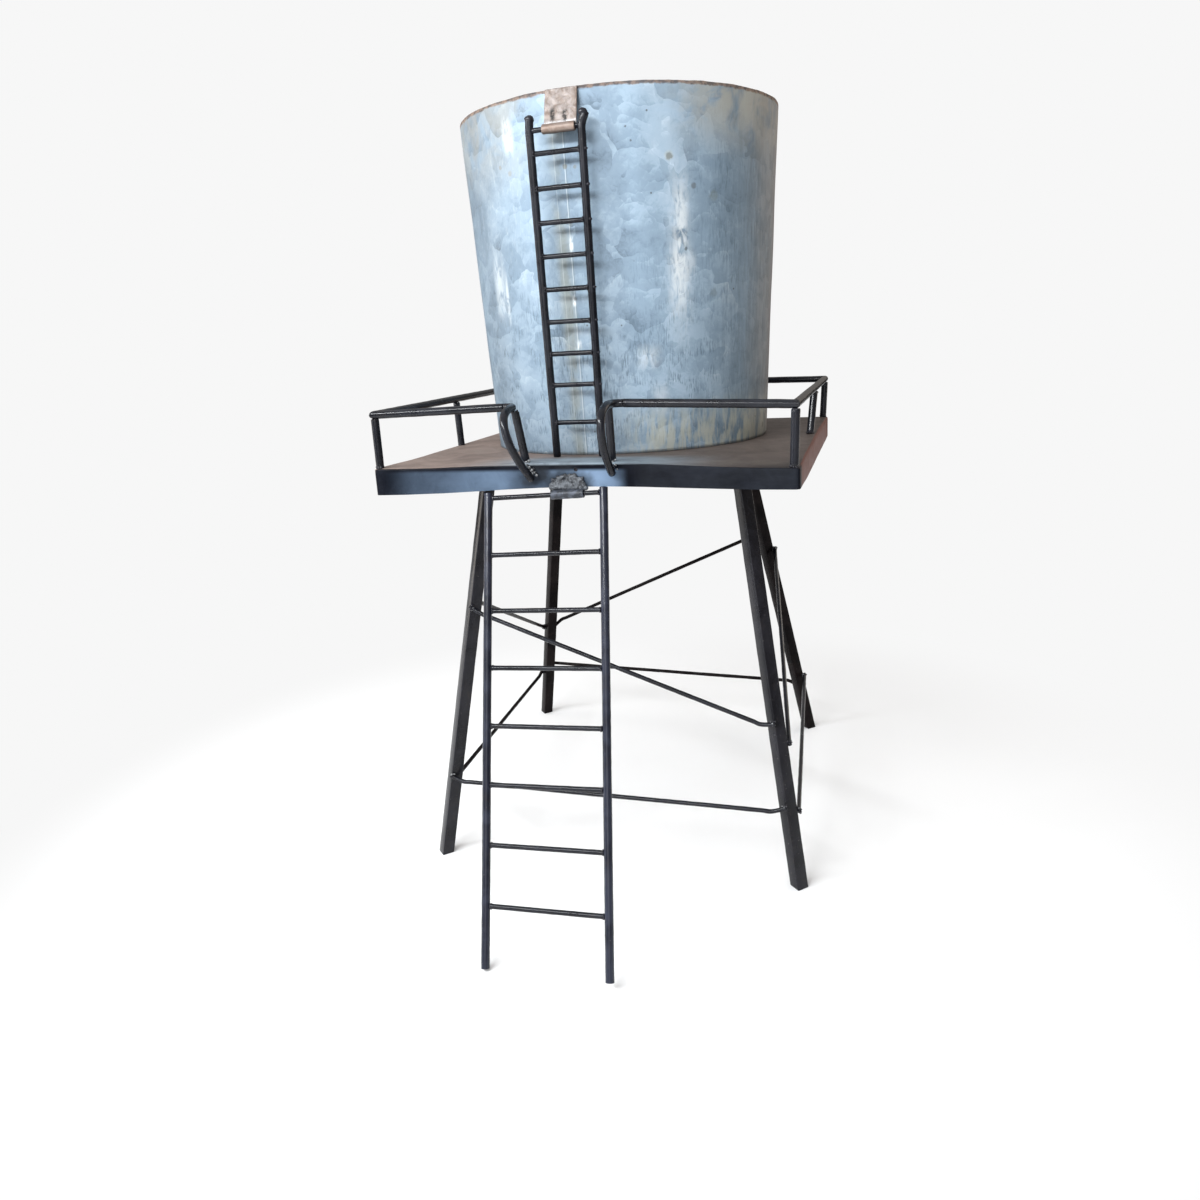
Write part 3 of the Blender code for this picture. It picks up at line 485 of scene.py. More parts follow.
def pan_paint():
    made = Finish("pan_paint", metallic=0.0, specular=0.045)
    x, y, z = made.axes(made.vector("SUBTRACT", made.place, tuple(PLATFORM_CENTRE)))
    _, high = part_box("platform_pan")
    blotch = made.noise(38 * MM, 4.0, 0.6, 0.9)
    fine = made.noise(3.2 * MM, 4.0, 0.7)
    colour = made.mix(made.step(blotch, 0.36, 0.64), PAN_DARK, PAN_PALE)
    # deck: painted reflections, taupe on the left and at the back, blue grey before the tank, brown on
    # the right
    top = made.step(z, high.z - 9 * MM, high.z - 4 * MM)
    front_y = -HALF_PLATFORM
    inner = made.step(y, front_y + 0.4 * MM, front_y + 1.6 * MM)
    crown = made.step(z, high.z - 3 * MM, high.z - 1 * MM)
    top = made.math("MAXIMUM", made.times(top, inner), crown)
    deck = made.mix(made.step(x, -0.100, 0.060), DECK_LEFT, DECK_RIGHT)
    front = made.times(made.step(y, -0.128, -0.172), made.band(x, -0.075, 0.090, 0.055))
    deck = made.mix(made.times(front, 0.85), deck, DECK_FRONT)
    light = made.times(made.band(y, -0.190, -0.172, 0.012), made.step(x, 0.085, 0.150))
    deck = made.mix(made.times(light, 0.45), deck, DECK_PALE_REFLECTION)
    deck = made.mix(made.times(made.step(blotch, 0.30, 0.70), 0.34), deck, DECK_GRIME)
    stain = made.spot(POST_STAIN, 15 * MM, 0.8, 0.7)
    deck = made.mix(made.times(stain, 0.45), deck, DECK_STAIN)
    colour = made.mix(top, colour, deck)
    # front apron: a painted highlight, pale blue grey over the left half, strongest around the drilled
    # hole
    face = made.step(y, front_y + 1.4 * MM, front_y + 0.4 * MM)
    mottled = made.math("MULTIPLY_ADD", made.noise(24 * MM, 3.0, 0.6, 0.8), 0.9, 0.42)
    apron_highlight = made.times(made.step(x, -0.200, -0.150), made.step(x, 0.052, 0.036))
    apron_highlight = made.times(apron_highlight, made.times(mottled, 0.50))
    weaker = made.math("MULTIPLY_ADD", made.step(x, -0.150, -0.075), 0.55, 0.45)
    apron_highlight = made.times(apron_highlight, weaker)
    dip = made.times(made.band(x, -0.062, -0.030, 0.012), 0.55)
    apron_highlight = made.times(apron_highlight, made.math("SUBTRACT", 1.0, dip))
    around = made.times(made.band(x, -0.020, 0.038, 0.014), 0.40)
    apron_highlight = made.times(face, made.math("ADD", apron_highlight, around))
    fold = made.times(apron_highlight, made.step(z, high.z - 5 * MM, high.z - 9 * MM))
    colour = made.mix(fold, colour, APRON_HIGHLIGHT)
    # painted highlight: a line of light under the fold on the right half; white specks; painted
    # reflection: the right side brown
    line = made.times(face, made.step(x, 0.050, 0.070))
    arris = made.times(line, made.noise(9 * MM, 3.0, 0.6, stretch=(3, 1, 1)))
    colour = made.mix(made.times(arris, 0.05), colour, APRON_ARRIS_HIGHLIGHT)
    speck_far, chance = made.cells(13 * MM)
    speck = made.times(made.step(speck_far, 0.055, 0.03), made.step(chance, 0.84, 0.87))
    colour = made.mix(made.times(speck, 0.65), colour, PAN_SPECK)
    right = made.times(made.step(x, 0.2010, 0.2025), made.step(y, -0.195, -0.180))
    colour = made.mix(made.times(right, 0.92), colour, PAN_SIDE_REFLECTION)
    # scorched paint around the hinge's weld and the left hoop's foot
    for place, radius, strength in SCORCHED:
        mark = made.spot(PLATFORM_CENTRE + Vector(place), radius, 0.7, 0.8)
        colour = made.mix(made.times(mark, strength), colour, PAN_SCORCH)
    roughness = made.math("MULTIPLY_ADD", blotch, 0.22, made.math("MULTIPLY_ADD", fine, 0.12, 0.22))
    roughness = made.math("ADD", roughness, made.times(top, 0.06))
    return made.finish(colour, roughness, made.math("MULTIPLY_ADD", blotch, 1.2, fine), 0.22 * MM, 0.5)


# place from the middle of the platform, radius, strength
SCORCHED = (
    ((-0.006, -0.2035, 0.4040), 0.016, 0.75),
    ((-0.018, -0.2035, 0.4030), 0.011, 0.65),
    ((0.008, -0.2035, 0.4030), 0.010, 0.60),
    ((-0.034, -0.2035, 0.4130), 0.009, 0.85),
    ((-0.045, -0.2035, 0.4060), 0.007, 0.75),
)
DRILLED_HOLE = (0.0015, -0.2008, 0.4168)                # from the middle of the platform
POST_STAIN = Vector((-0.150, 0.010, 0.4190))            # in the shared frame


def bare_steel(name, pale, dark, drips=0.0, metallic=0.35):
    made = Finish(name, metallic=metallic, specular=0.4)
    x, _, z = made.axes()
    cloud = made.noise(7 * MM, 4.0, 0.65, 0.8)
    fine = made.noise(1.1 * MM, 3.0, 0.7)
    colour = made.mix(made.step(cloud, 0.36, 0.66), dark, pale)
    pitted = made.times(made.step(fine, 0.56, 0.74), 0.45)
    colour = made.mix(pitted, colour, tuple(0.35 * part for part in dark))
    if drips:
        _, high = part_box("upper_ladder_tab")
        top = high.z
        for across, reach in TAB_DRIPS:
            run = made.band(x, across - 2.2 * MM, across + 2.2 * MM, 1.3 * MM)
            run = made.times(run, made.band(z, top - reach, top - reach + 11 * MM, 2.5 * MM))
            run = made.times(run, made.step(made.noise(3.2 * MM, 3.0, 0.6), 0.33, 0.52))
            colour = made.mix(made.times(run, drips), colour, TAB_DRIP)
        foot = made.step(z, top - 28 * MM, top - 31 * MM)
        colour = made.mix(made.times(foot, 0.55), colour, TAB_CURL)
        line = made.band(z, top - 31 * MM, top - 28.5 * MM, 1.2 * MM)
        line = made.times(line, made.step(fine, 0.36, 0.52))
        colour = made.mix(made.times(line, 0.85), colour, TAB_WELD)
        # painted shade under the curl
        under = made.step(z, top - 37 * MM, top - 40 * MM)
        colour = made.mix(made.times(under, 0.8), colour, TAB_SHADE_UNDER)
    roughness = made.math("MULTIPLY_ADD", cloud, 0.30, 0.30)
    return made.finish(colour, roughness, made.math("MULTIPLY_ADD", cloud, 1.0, fine), 0.25 * MM, 0.8)


# place across and reach down from the rim
TAB_DRIPS = ((-20.1 * MM, 28 * MM), (-8.3 * MM, 30 * MM))


def weld_metal():
    made = Finish("weld_metal", metallic=0.75, specular=0.5)
    cloud = made.noise(2.6 * MM, 4.0, 0.7, 0.6)
    colour = made.mix(made.step(cloud, 0.38, 0.62), WELD_DARK, WELD_PALE)
    roughness = made.math("MULTIPLY_ADD", cloud, 0.25, 0.24)
    return made.finish(colour, roughness, cloud, 0.2 * MM, 0.7)


# ---------------------------------------------------------------- geometry

def lump(point, size, seed):
    """A smooth random push at a point, for slightly uneven metal."""
    return noise.noise_vector(Vector(point) / size + Vector((seed, 2.3 * seed, 5.1)))


def add_piece(name, mesh, body, finish, slot_name, *nodes):
    """A visible piece that rides on a body, in place of the nodes given."""
    for face in mesh.faces:
        face.smooth = True
    data = bpy.data.meshes.new(name)
    mesh.to_mesh(data)
    mesh.free()
    data.materials.append(finish)
    piece = bpy.data.objects.new(name, data)
    bpy.context.scene.collection.objects.link(piece)
    if nodes:
        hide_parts(*nodes)
    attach(piece, body)
    return piece


def nodes_named(start):
    return sorted(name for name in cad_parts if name.startswith(start))


def copied(node):
    """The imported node's mesh, with its triangles joined into flat faces."""
    mesh = bmesh.new()
    mesh.from_mesh(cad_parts[node].data)
    bmesh.ops.remove_doubles(mesh, verts=mesh.verts, dist=MERGE)
    bmesh.ops.join_triangles(
        mesh, faces=mesh.faces, angle_face_threshold=0.02, angle_shape_threshold=math.pi,
        cmp_seam=False, cmp_sharp=False, cmp_uvs=False, cmp_vcols=False, cmp_materials=False,
    )
    return mesh


def main_axis(mesh):
    """The direction between the two vertices that lie farthest apart."""
    start = next(iter(mesh.verts)).co
    first = max(mesh.verts, key=lambda v: (v.co - start).length).co
    second = max(mesh.verts, key=lambda v: (v.co - first).length).co
    return (second - first).normalized()


def cut_along(mesh, axis, step, ends=True):
    """Cuts across an axis, about step apart, and with ends one more close to each end."""
    reach = [v.co.dot(axis) for v in mesh.verts]
    low, high = min(reach), max(reach)
    count = max(1, round((high - low) / step))
    places = [low + (high - low) * n / count for n in range(1, count)]
    if ends:
        places = [low + END_CUT, *places, high - END_CUT]
    for place in places:
        bmesh.ops.bisect_plane(
            mesh, geom=[*mesh.verts, *mesh.edges, *mesh.faces], dist=MERGE,
            plane_co=axis * place, plane_no=axis,
        )


def rounded(mesh):
    """One round of subdivision that keeps sharp edges, through the modifier."""
    crease = mesh.edges.layers.float.get("crease_edge") or mesh.edges.layers.float.new("crease_edge")
    for edge in mesh.edges:
        if len(edge.link_faces) == 2 and edge.calc_face_angle(0) > SHARP:
            edge[crease] = CREASE
    data = bpy.data.meshes.new("rounded")
    mesh.to_mesh(data)
    mesh.free()
    holder = bpy.data.objects.new("rounded", data)
    bpy.context.scene.collection.objects.link(holder)
    smooth = holder.modifiers.new("smooth", "SUBSURF")
    smooth.levels = smooth.render_levels = 1
    return baked(holder)


def baked(holder):
    """The object's mesh with its modifiers applied, as a bmesh; the object goes away."""
    graph = bpy.context.evaluated_depsgraph_get()
    mesh = bmesh.new()
    mesh.from_object(holder, graph)
    data = holder.data
    bpy.data.objects.remove(holder)
    bpy.data.meshes.remove(data)
    return mesh


def roughen(mesh, amount, size, seed, bend=0.0):
    """Pushes the surface in and out by amount in lumps of a size, and bends the whole by up to bend."""
    mesh.normal_update()
    moves = []
    for vert in mesh.verts:
        push = vert.normal * (lump(vert.co, size, seed).x * amount)
        if bend:
            push += lump(vert.co, BEND_SIZE, seed + 3) * bend
        moves.append(push)
    for vert, push in zip(mesh.verts, moves):
        vert.co += push


def remeshed(mesh, smoothing):
    """The mesh rebuilt as one closed skin, and smoothed."""
    data = bpy.data.meshes.new("remeshed")
    mesh.to_mesh(data)
    mesh.free()
    holder = bpy.data.objects.new("remeshed", data)
    bpy.context.scene.collection.objects.link(holder)
    remesh = holder.modifiers.new("remesh", "REMESH")
    remesh.mode = "VOXEL"
    remesh.voxel_size = VOXEL
    smooth = holder.modifiers.new("smooth", "SMOOTH")
    smooth.factor = 0.5
    smooth.iterations = smoothing
    return baked(holder)


def node_ends(node):
    """The middles of a rod's two ends, and its direction."""
    mesh = copied(node)
    axis = main_axis(mesh)
    reach = sorted((v.co.dot(axis), tuple(v.co)) for v in mesh.verts)
    mesh.free()
    near = [Vector(co) for at, co in reach if at < reach[0][0] + END_DEPTH]
    far = [Vector(co) for at, co in reach if at > reach[-1][0] - END_DEPTH]
    start = sum(near, Vector()) / len(near)
    end = sum(far, Vector()) / len(far)
    return start, end, (end - start).normalized()


def beads(mesh, centre, axis, radius, count, size, chances):
    """A ring of weld beads around a rod at a joint."""
    side = axis.orthogonal().normalized()
    other = axis.cross(side)
    for n in range(count):
        turn = math.radians(360.0 * n / count)
        spread = size * chances.uniform(0.75, 1.25)
        place = centre + (side * math.cos(turn) + other * math.sin(turn)) * radius
        place += axis * chances.uniform(-0.25, 0.5) * size
        add_bead(mesh, place, spread, chances)


def add_bead(mesh, place, size, chances):
    """One uneven blob of weld."""
    made = bmesh.ops.create_icosphere(mesh, subdivisions=2, radius=size)
    stretch = Vector((chances.uniform(0.8, 1.2), chances.uniform(0.8, 1.2), chances.uniform(0.8, 1.2)))
    angle = chances.uniform(0, math.tau)
    turn = Matrix.Rotation(angle, 3, Vector((chances.random(), chances.random(), 1)))
    seed = chances.uniform(0, 50)
    for vert in made["verts"]:
        offset = turn @ Vector(a * b for a, b in zip(vert.co, stretch))
        offset *= 1 + 0.22 * noise.noise(vert.co / size * 1.3 + Vector((seed, 0, 0)))
        vert.co = place + offset


def build_tank(finish):
    """The dented sheet, with a lap seam in front and a wavy raw rim."""
    mesh = bmesh.new()

    def ring(radius_at, height, wavy):
        made = []
        for n in range(TANK_COLUMNS):
            degrees = 360 * n / TANK_COLUMNS - 180
            turn = math.radians(degrees)
            radius = radius_at(degrees, height)
            z = height
            if wavy:
                edge = Vector((math.sin(turn), math.cos(turn), 0)) * 6
                z += noise.noise(edge) * 0.5 * MM + noise.noise(edge * 6) * 0.25 * MM
            place = TANK + Vector((radius * math.sin(turn), -radius * math.cos(turn), z))
            made.append(mesh.verts.new(place))
        return made

    def shape(degrees, height):
        turn = math.radians(degrees)
        around = Vector((math.sin(turn), math.cos(turn), 0))
        fade = min(1, height / (20 * MM))
        dent = noise.noise(around * 2.6 + Vector((0, 0, height * 14))) * 0.55 * MM
        flute = noise.noise(around * 7.5 + Vector((3, 0, height * 3))) * 0.30 * MM
        ripple = noise.noise(around * 22 + Vector((0, 7, height * 60))) * 0.06 * MM
        return tank_radius(height) + (dent + flute + ripple) * fade

    def outer(degrees, height):
        up = smooth_share(degrees, SEAM_LEFT - 0.6, SEAM_LEFT + 0.6)
        down = smooth_share(degrees, SEAM_RIGHT + 0.3, SEAM_RIGHT - 0.3)
        return shape(degrees, height) + LAP_RISE * up * down

    def inner(degrees, height):
        return shape(degrees, height) - TANK_SHEET

    rings = []
    for n in range(TANK_ROWS + 1):
        rings.append(ring(outer, TANK_HEIGHT * n / TANK_ROWS, n == TANK_ROWS))
    top = TANK_HEIGHT + RIM_RISE
    rings.append(ring(lambda d, h: outer(d, TANK_HEIGHT) - RIM_BEVEL, top, True))
    rings.append(ring(lambda d, h: inner(d, TANK_HEIGHT) + RIM_BEVEL, top, True))
    for n in range(TANK_ROWS, -1, -1):
        rings.append(ring(inner, TANK_HEIGHT * n / TANK_ROWS, n == TANK_ROWS))
    for low, high in zip(rings, rings[1:] + rings[:1]):
        for n in range(TANK_COLUMNS):
            after = (n + 1) % TANK_COLUMNS
            mesh.faces.new((low[n], low[after], high[after], high[n]))
    bmesh.ops.recalc_face_normals(mesh, faces=mesh.faces)
    add_piece("tank_sheet", mesh, "tower", finish, "galvanised_sheet", "tank_shell")


def smooth_share(value, low, high):
    share = min(1, max(0, (value - low) / (high - low)))
    return share * share * (3 - 2 * share)


def build_tank_floor(finish):
    low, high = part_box("tank_floor")
    radius = (high.x - low.x) / 2
    mesh = bmesh.new()
    sheets = []
    for height in (high.z, low.z):
        middle = mesh.verts.new((TANK.x, TANK.y, height))
        sheet = [[middle] * FLOOR_COLUMNS]
        for r in range(1, FLOOR_RINGS + 1):
            reach = radius * r / FLOOR_RINGS
            row = []
            for n in range(FLOOR_COLUMNS):
                turn = math.tau * n / FLOOR_COLUMNS
                x, y = reach * math.cos(turn), reach * math.sin(turn)
                dent = noise.noise(Vector((x, y, 0)) * 24) * 0.5 * MM * (1 - r / FLOOR_RINGS)
                row.append(mesh.verts.new((TANK.x + x, TANK.y + y, height + max(dent, 0))))
            sheet.append(row)
        sheets.append(sheet)
    for sheet in sheets:
        for inside, outside in zip(sheet, sheet[1:]):
            for n in range(FLOOR_COLUMNS):
                after = (n + 1) % FLOOR_COLUMNS
                corners = [inside[n], inside[after], outside[after], outside[n]]
                mesh.faces.new(list(dict.fromkeys(corners)))
    above, below = sheets[0][-1], sheets[1][-1]
    for n in range(FLOOR_COLUMNS):
        after = (n + 1) % FLOOR_COLUMNS
        mesh.faces.new((above[n], above[after], below[after], below[n]))
    bmesh.ops.recalc_face_normals(mesh, faces=mesh.faces)
    add_piece("tank_bottom", mesh, "tower", finish, "galvanised_sheet", "tank_floor")


def add_rods(names, first_seed, body, rough, choose):
    """Rounded, slightly uneven rods; rough is the push, the size of its lumps, and the bend."""
    amount, size, bend = rough
    for seed, name in enumerate(names, first_seed):
        mesh = copied(name)
        cut_along(mesh, main_axis(mesh), STEP)
        mesh = rounded(mesh)
        roughen(mesh, amount, size, seed, bend)
        add_piece(name + "_rod", mesh, body, choose(name), "black_paint", name)


def build_rods(finish, stile_sheen_finish, back_shade_finish):
    add_rods(
        nodes_named(("rail_", "post_", "brace_")), 0, "tower", (0.16 * MM, 9 * MM, 0.18 * MM),
        lambda name: back_shade_finish if name.startswith(("brace_left", "brace_back")) else finish,
    )
    add_rods(
        nodes_named("lower_"), 40, "lower_ladder", (0.12 * MM, 8 * MM, 0.12 * MM),
        lambda name: stile_sheen_finish if "stile" in name else finish,
    )
    for seed, name in enumerate(("grab_hoop_left", "grab_hoop_right"), 60):
        mesh = rounded(copied(name))
        roughen(mesh, 0.16 * MM, 7 * MM, seed)
        add_piece(name + "_rod", mesh, "tower", finish, "black_paint", name)
    mesh = copied("upper_ladder")
    cut_along(mesh, ALONG_Z, STEP, ends=False)
    cut_along(mesh, ALONG_X, STEP, ends=False)
    mesh = rounded(mesh)
    roughen(mesh, 0.14 * MM, 7 * MM, 71, 0.12 * MM)
    add_piece("upper_ladder_rods", mesh, "tower", finish, "black_paint", "upper_ladder")


def build_legs(finish, back_shade_finish):
    """Square bars with worn corners."""
    for seed, name in enumerate(nodes_named("leg_"), 80):
        mesh = copied(name)
        bmesh.ops.bevel(
            mesh, geom=list(mesh.edges), offset=LEG_BEVEL, segments=3, profile=0.5, affect="EDGES",
        )
        cut_along(mesh, main_axis(mesh), LEG_STEP, ends=False)
        roughen(mesh, 0.18 * MM, 10 * MM, seed, 0.2 * MM)
        used = back_shade_finish if "back" in name else finish
        add_piece(name + "_bar", mesh, "tower", used, "black_paint", name)


def build_pan(finish):
    mesh = copied("platform_pan")
    cut_along(mesh, ALONG_X, PAN_STEP, ends=False)
    cut_along(mesh, ALONG_Y, PAN_STEP, ends=False)
    roughen(mesh, 0.22 * MM, 45 * MM, 91)
    piece = add_piece("platform_sheet", mesh, "tower", finish, "black_paint", "platform_pan")
    piece.data.set_sharp_from_angle(angle=PAN_SHARP)


def build_tabs(rim_finish, hinge_finish):
    mesh = remeshed(copied("upper_ladder_tab"), 3)
    roughen(mesh, 0.35 * MM, 5 * MM, 101)
    add_piece("rim_tab", mesh, "tower", rim_finish, "bare_steel", "upper_ladder_tab")
    mesh = remeshed(copied("ladder_hinge_tab"), 3)
    roughen(mesh, 0.30 * MM, 5 * MM, 102)
    add_piece("hinge_plate", mesh, "tower", hinge_finish, "black_paint", "ladder_hinge_tab")


# rings of weld beads: radius of the ring, number of beads, size of a bead
POST_FOOT_WELD = (2.9 * MM, 8, 1.3 * MM)
POST_HEAD_WELD = (2.6 * MM, 7, 1.2 * MM)
BRACE_WELD = (2.4 * MM, 7, 1.3 * MM)
UPPER_RUNG_WELD = (2.0 * MM, 6, 1.0 * MM)
LOWER_RUNG_WELD = (1.9 * MM, 7, 0.95 * MM)
# the upper ladder: height of each rung over the ground, and where its stiles run
UPPER_RUNG_HEIGHTS = (0.4535, 0.4896, 0.5192, 0.5488, 0.5784, 0.6080, 0.6376, 0.6672, 0.6968)
UPPER_X = PLATFORM_CENTRE.x - 15.5 * MM
UPPER_FOOT_Y, UPPER_TOP_Y = -55.4 * MM, -70.0 * MM
UPPER_FOOT_HALF, UPPER_TOP_HALF = 23.5 * MM, 24.8 * MM
STILE_TIP = 14 * MM                     # how much of a stile counts as its tip
STILE_DOME = 3.7 * MM
# runs of bright weld at the hoops' lower ends: which hoop, number of beads, size of a bead
HOOP_RUNS = (("left", 11, 1.7 * MM), ("right", 5, 1.2 * MM))
HOOP_TIP = 5 * MM
BRIGHT_JOINTS = ("brace_front_diagonal", "brace_front_level", "brace_right_diagonal", "brace_right_level")
# the mound of weld over the hinge plate
HINGE_BEADS = 140
HINGE_HALF_WIDTH, HINGE_RISE = 17 * MM, 12.5 * MM


def ring_both_ends(mesh, ends, inset, first, second, chances):
    start, end, axis = ends
    beads(mesh, start + axis * inset, axis, *first, chances)
    beads(mesh, end - axis * inset, axis, *second, chances)


def build_frame_welds(finish, chances):
    """Painted beads where posts, braces and the upper ladder's rungs end."""
    mesh = bmesh.new()
    for name in nodes_named("post_"):
        start, end, axis = node_ends(name)
        if start.z > end.z:
            start, end, axis = end, start, -axis
        ring_both_ends(mesh, (start, end, axis), 0.6 * MM, POST_FOOT_WELD, POST_HEAD_WELD, chances)
    for name in nodes_named("brace_"):
        ring_both_ends(mesh, node_ends(name), 1.5 * MM, BRACE_WELD, BRACE_WELD, chances)
    low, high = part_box("upper_ladder")
    for height in UPPER_RUNG_HEIGHTS:
        share = (height - low.z) / (high.z - low.z)
        forward = UPPER_FOOT_Y + (UPPER_TOP_Y - UPPER_FOOT_Y) * share
        half = UPPER_FOOT_HALF + (UPPER_TOP_HALF - UPPER_FOOT_HALF) * share
        for side in (-1, 1):
            inner = Vector((UPPER_X + side * (half - 3.4 * MM), forward, height))
            beads(mesh, inner, Vector((side, 0, 0)), *UPPER_RUNG_WELD, chances)
        outer = Vector((UPPER_X + half + 3.2 * MM, forward, height))
        add_bead(mesh, outer, 1.7 * MM, chances)
    add_piece("frame_welds", mesh, "tower", finish, "black_paint")


def build_ladder_welds(finish, chances):
    mesh = bmesh.new()
    for name in nodes_named("lower_rung_"):
        ring_both_ends(mesh, node_ends(name), 0.4 * MM, LOWER_RUNG_WELD, LOWER_RUNG_WELD, chances)
    add_piece("ladder_welds", mesh, "lower_ladder", finish, "black_paint")


def build_bright_welds(finish, chances):
    mesh = bmesh.new()
    # a crooked run of beads from each gate post's foot down to the end of its hoop
    for word, count, size in HOOP_RUNS:
        foot = min(node_ends("post_gate_" + word)[:2], key=lambda point: point.z)
        hoop = [v.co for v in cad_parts["grab_hoop_" + word].data.vertices]
        lowest = min(co.z for co in hoop)
        tips = [co for co in hoop if co.z < lowest + HOOP_TIP]
        first = foot + Vector((2.5, -3.5, 1.0)) * MM
        last = sum(tips, Vector()) / len(tips) + Vector((4.0, 0, 4.0)) * MM
        for n in range(count):
            place = first.lerp(last, n / (count - 1))
            place.x += (1.6, -1.4)[n % 2] * MM
            if place.z < first.z - 2 * MM:
                place.y = min(place.y, APRON_Y - 1.0 * MM)
            add_bead(mesh, place, size * chances.uniform(0.75, 1.1), chances)
    # loose spatter where the braces meet the legs
    for name in BRIGHT_JOINTS:
        start, end, axis = node_ends(name)
        for place, inward in ((start, axis), (end, -axis)):
            for n in range(5):
                across, back, up = (
                    chances.uniform(-2.6, 2.6), chances.uniform(0.6, 2.2), chances.uniform(-3, 3),
                )
                drift = Vector((across, -back, up)) * MM
                size = chances.uniform(0.7, 1.3) * MM
                add_bead(mesh, place + inward * 2 * MM + drift, size, chances)
    add_piece("bright_welds", mesh, "tower", finish, "bare_steel")


def build_hole_paint(finish, chances):
    """Old paint that clogs the drilled hole: seven beads around it and seven in the middle."""
    mesh = bmesh.new()
    for n in range(14):
        turn = math.tau * n / 7
        reach = (0.0, 1.7)[n < 7] * MM
        around = Vector((reach * math.cos(turn), 0, reach * math.sin(turn)))
        place = PLATFORM_CENTRE + Vector(DRILLED_HOLE) + around
        add_bead(mesh, place, 1.25 * MM, chances)
    add_piece("hole_paint", mesh, "tower", finish, "black_paint")


def build_stile_tips(finish, chances):
    """Domed tips of the upper ladder's stiles."""
    mesh = bmesh.new()
    low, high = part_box("upper_ladder")
    middle = (low.x + high.x) / 2
    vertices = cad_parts["upper_ladder"].data.vertices
    tips = [v.co for v in vertices if v.co.z > high.z - STILE_TIP]
    for side in (False, True):
        near = [co for co in tips if (co.x > middle) == side]
        top = max(co.z for co in near)
        crown = [co for co in near if co.z > top - 1.5 * MM]
        place = sum(crown, Vector()) / len(crown)
        add_bead(mesh, place - Vector((0, 0, 1.2 * MM)), STILE_DOME, chances)
    add_piece("stile_tips", mesh, "tower", finish, "black_paint")


def build_welds(painted, bright):
    chances = random.Random(SEED)
    build_frame_welds(painted, chances)
    build_ladder_welds(painted, chances)
    build_bright_welds(bright, chances)
    build_hole_paint(painted, chances)
    build_stile_tips(painted, chances)


def build_hinge_weld(finish):
    """The rough mound of weld that holds the hinge plate to the apron."""
    chances = random.Random(SEED + 1)
    low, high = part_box("ladder_hinge_tab")
    middle = Vector(((low.x + high.x) / 2, APRON_Y - 2.6 * MM, low.z + 10 * MM))
    mesh = bmesh.new()
    for n in range(HINGE_BEADS):
        across = chances.uniform(-1, 1)
        tall = math.sqrt(1 - across * across)
        up = chances.uniform(0, 1) * tall
        place = middle + Vector((across * HINGE_HALF_WIDTH, 0, up * HINGE_RISE))
        place.y += 1.2 * MM * (across * across + up * up)
        add_bead(mesh, place, chances.uniform(2.0, 2.5) * MM, chances)
    mesh = remeshed(mesh, 9)
    roughen(mesh, 0.45 * MM, 3 * MM, 103)
    add_piece("hinge_weld", mesh, "tower", finish, "black_paint")


# ---------------------------------------------------------------- light and floor

def add_area(name, place, target, size, power, colour):
    data = bpy.data.lights.new(name, "AREA")
    data.shape = "RECTANGLE"
    data.size, data.size_y = size
    data.energy = power
    data.color = colour
    light = bpy.data.objects.new(name, data)
    bpy.context.scene.collection.objects.link(light)
    light.location = place
    light.rotation_euler = (Vector(target) - Vector(place)).to_track_quat("-Z", "Y").to_euler()


# how bright the room is, from the horizon (0) to straight up (1), and the pale backdrop behind it
ROOM_SHADES = (
    (0.0, (0.26, 0.235, 0.215)),
    (0.25, (0.30, 0.28, 0.26)),
    (0.6, (0.60, 0.61, 0.62)),
    (1.0, (0.85, 0.86, 0.88)),
)
BACKDROP = (0.93, 0.93, 0.93)
# name, place, what it points at, size, watts, colour
TARGET = (0, 0, 0.5)
LAMPS = (
    ("key", (-0.708, -1.09, 1.17), TARGET, (1.5, 0.12), 33, (0.95, 0.98, 1.0)),
    ("fill", (0.25, -2.0, 0.9), TARGET, (1.4, 1.2), 13, (0.97, 0.98, 1.0)),
    ("strip", (-1.35, -1.0, 0.42), (0, 0, 0.42), (0.3, 1.4), 7, (0.90, 0.95, 1.0)),
    ("warm_left", (-1.6, 0.2, 0.7), TARGET, (0.5, 1.2), 5, (1.0, 0.93, 0.86)),
    ("warm_back", (1.2, 1.3, 0.8), TARGET, (0.9, 1.2), 6, (1.0, 0.88, 0.76)),
)
FLOOR_HALF = 4
GLOW_FROM, GLOW_TO = 0.25, 0.75         # where the floor turns into backdrop, from the origin


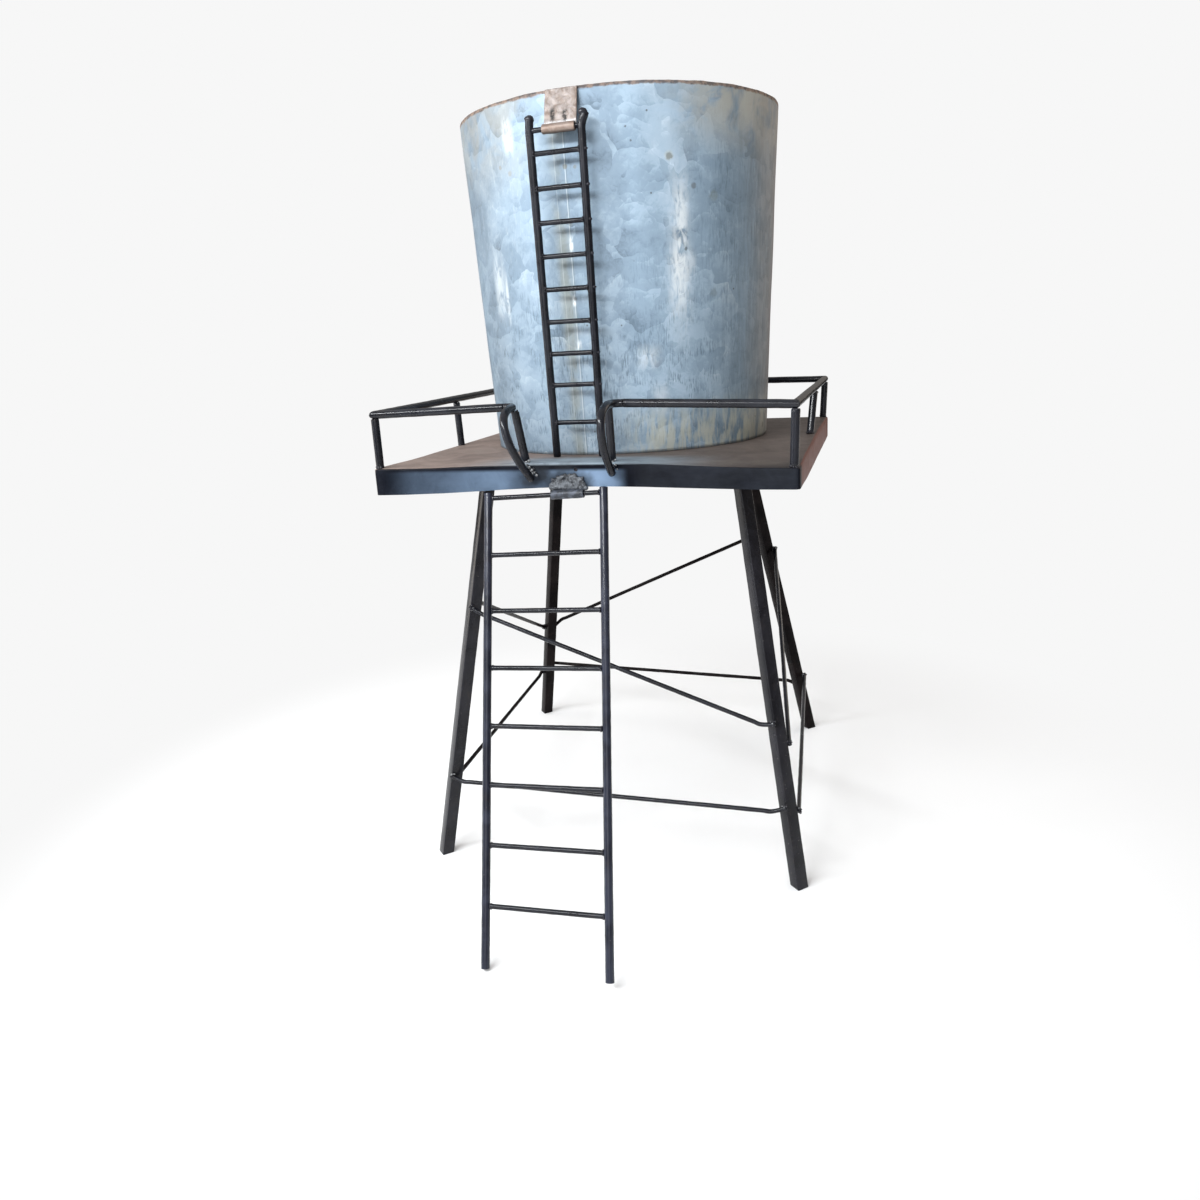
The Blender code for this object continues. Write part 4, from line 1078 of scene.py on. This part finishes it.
def light_scene():
    """A dim room for reflections, a plain backdrop for the camera, and the lamps."""
    world = bpy.data.worlds.new("world")
    bpy.context.scene.world = world
    world.use_nodes = True
    tree = world.node_tree
    room = tree.nodes["Background"]
    up = tree.nodes.new("ShaderNodeSeparateXYZ")
    tree.links.new(tree.nodes.new("ShaderNodeTexCoord").outputs["Generated"], up.inputs[0])
    sky = tree.nodes.new("ShaderNodeValToRGB")
    for at, shade in ROOM_SHADES:
        stop = sky.color_ramp.elements.new(at)
        stop.color = (*shade, 1)
    tree.links.new(up.outputs["Z"], sky.inputs[0])
    tree.links.new(sky.outputs["Color"], room.inputs["Color"])
    backdrop = tree.nodes.new("ShaderNodeBackground")
    backdrop.inputs["Color"].default_value = (*BACKDROP, 1)
    seen = tree.nodes.new("ShaderNodeLightPath")
    both = tree.nodes.new("ShaderNodeMixShader")
    tree.links.new(seen.outputs["Is Camera Ray"], both.inputs[0])
    tree.links.new(room.outputs[0], both.inputs[1])
    tree.links.new(backdrop.outputs[0], both.inputs[2])
    tree.links.new(both.outputs[0], tree.nodes["World Output"].inputs["Surface"])
    for lamp in LAMPS:
        add_area(*lamp)


def lay_floor():
    made = Finish("floor", metallic=0.0, specular=0.2)
    shade = made.noise(0.6, 2.0)
    finish = made.finish(made.mix(shade, (0.84, 0.84, 0.84), (0.88, 0.88, 0.88)), 0.85)
    # away from the object the floor is as bright as the backdrop
    glow = made.tree.nodes.new("ShaderNodeEmission")
    glow.inputs["Color"].default_value = (*BACKDROP, 1)
    seen = made.tree.nodes.new("ShaderNodeLightPath")
    away = made.step(made.vector("LENGTH", made.place), GLOW_FROM, GLOW_TO)
    both = made.tree.nodes.new("ShaderNodeMixShader")
    made.feed(both.inputs[0], made.times(away, seen.outputs["Is Camera Ray"]))
    made.tree.links.new(made.shader.outputs[0], both.inputs[1])
    made.tree.links.new(glow.outputs[0], both.inputs[2])
    made.tree.links.new(both.outputs[0], made.tree.nodes["Material Output"].inputs["Surface"])
    mesh = bpy.data.meshes.new("floor")
    corners = ((-1, -1), (1, -1), (1, 1), (-1, 1))
    mesh.from_pydata([(x * FLOOR_HALF, y * FLOOR_HALF, 0) for x, y in corners], [], [(0, 1, 2, 3)])
    floor = bpy.data.objects.new("floor", mesh)
    bpy.context.scene.collection.objects.link(floor)
    mesh.materials.append(finish)


make_camera()
zinc = galvanised()
black = black_paint()
brown = black_paint("brown_paint", BACK_SHADE_TINT, wear=0.3, specular=0.05)
build_tank(zinc)
build_tank_floor(zinc)
build_rods(black, black_paint("stile_sheen_paint", STILE_SHEEN_TINT), brown)
build_legs(black_paint("leg_paint", LEG_TINT, wear=1.0), brown)
build_pan(pan_paint())
build_tabs(
    bare_steel("rim_steel", RIM_PALE, RIM_DARK, drips=0.95),
    bare_steel("hinge_steel", HINGE_PALE, HINGE_DARK, metallic=0.2),
)
build_hinge_weld(bare_steel("scorched_weld", SCORCHED_PALE, SCORCHED_DARK, metallic=0.25))
build_welds(black_paint("weld_paint", WELD_TINT), weld_metal())
light_scene()
lay_floor()
bpy.context.scene.view_settings.view_transform = "Standard"
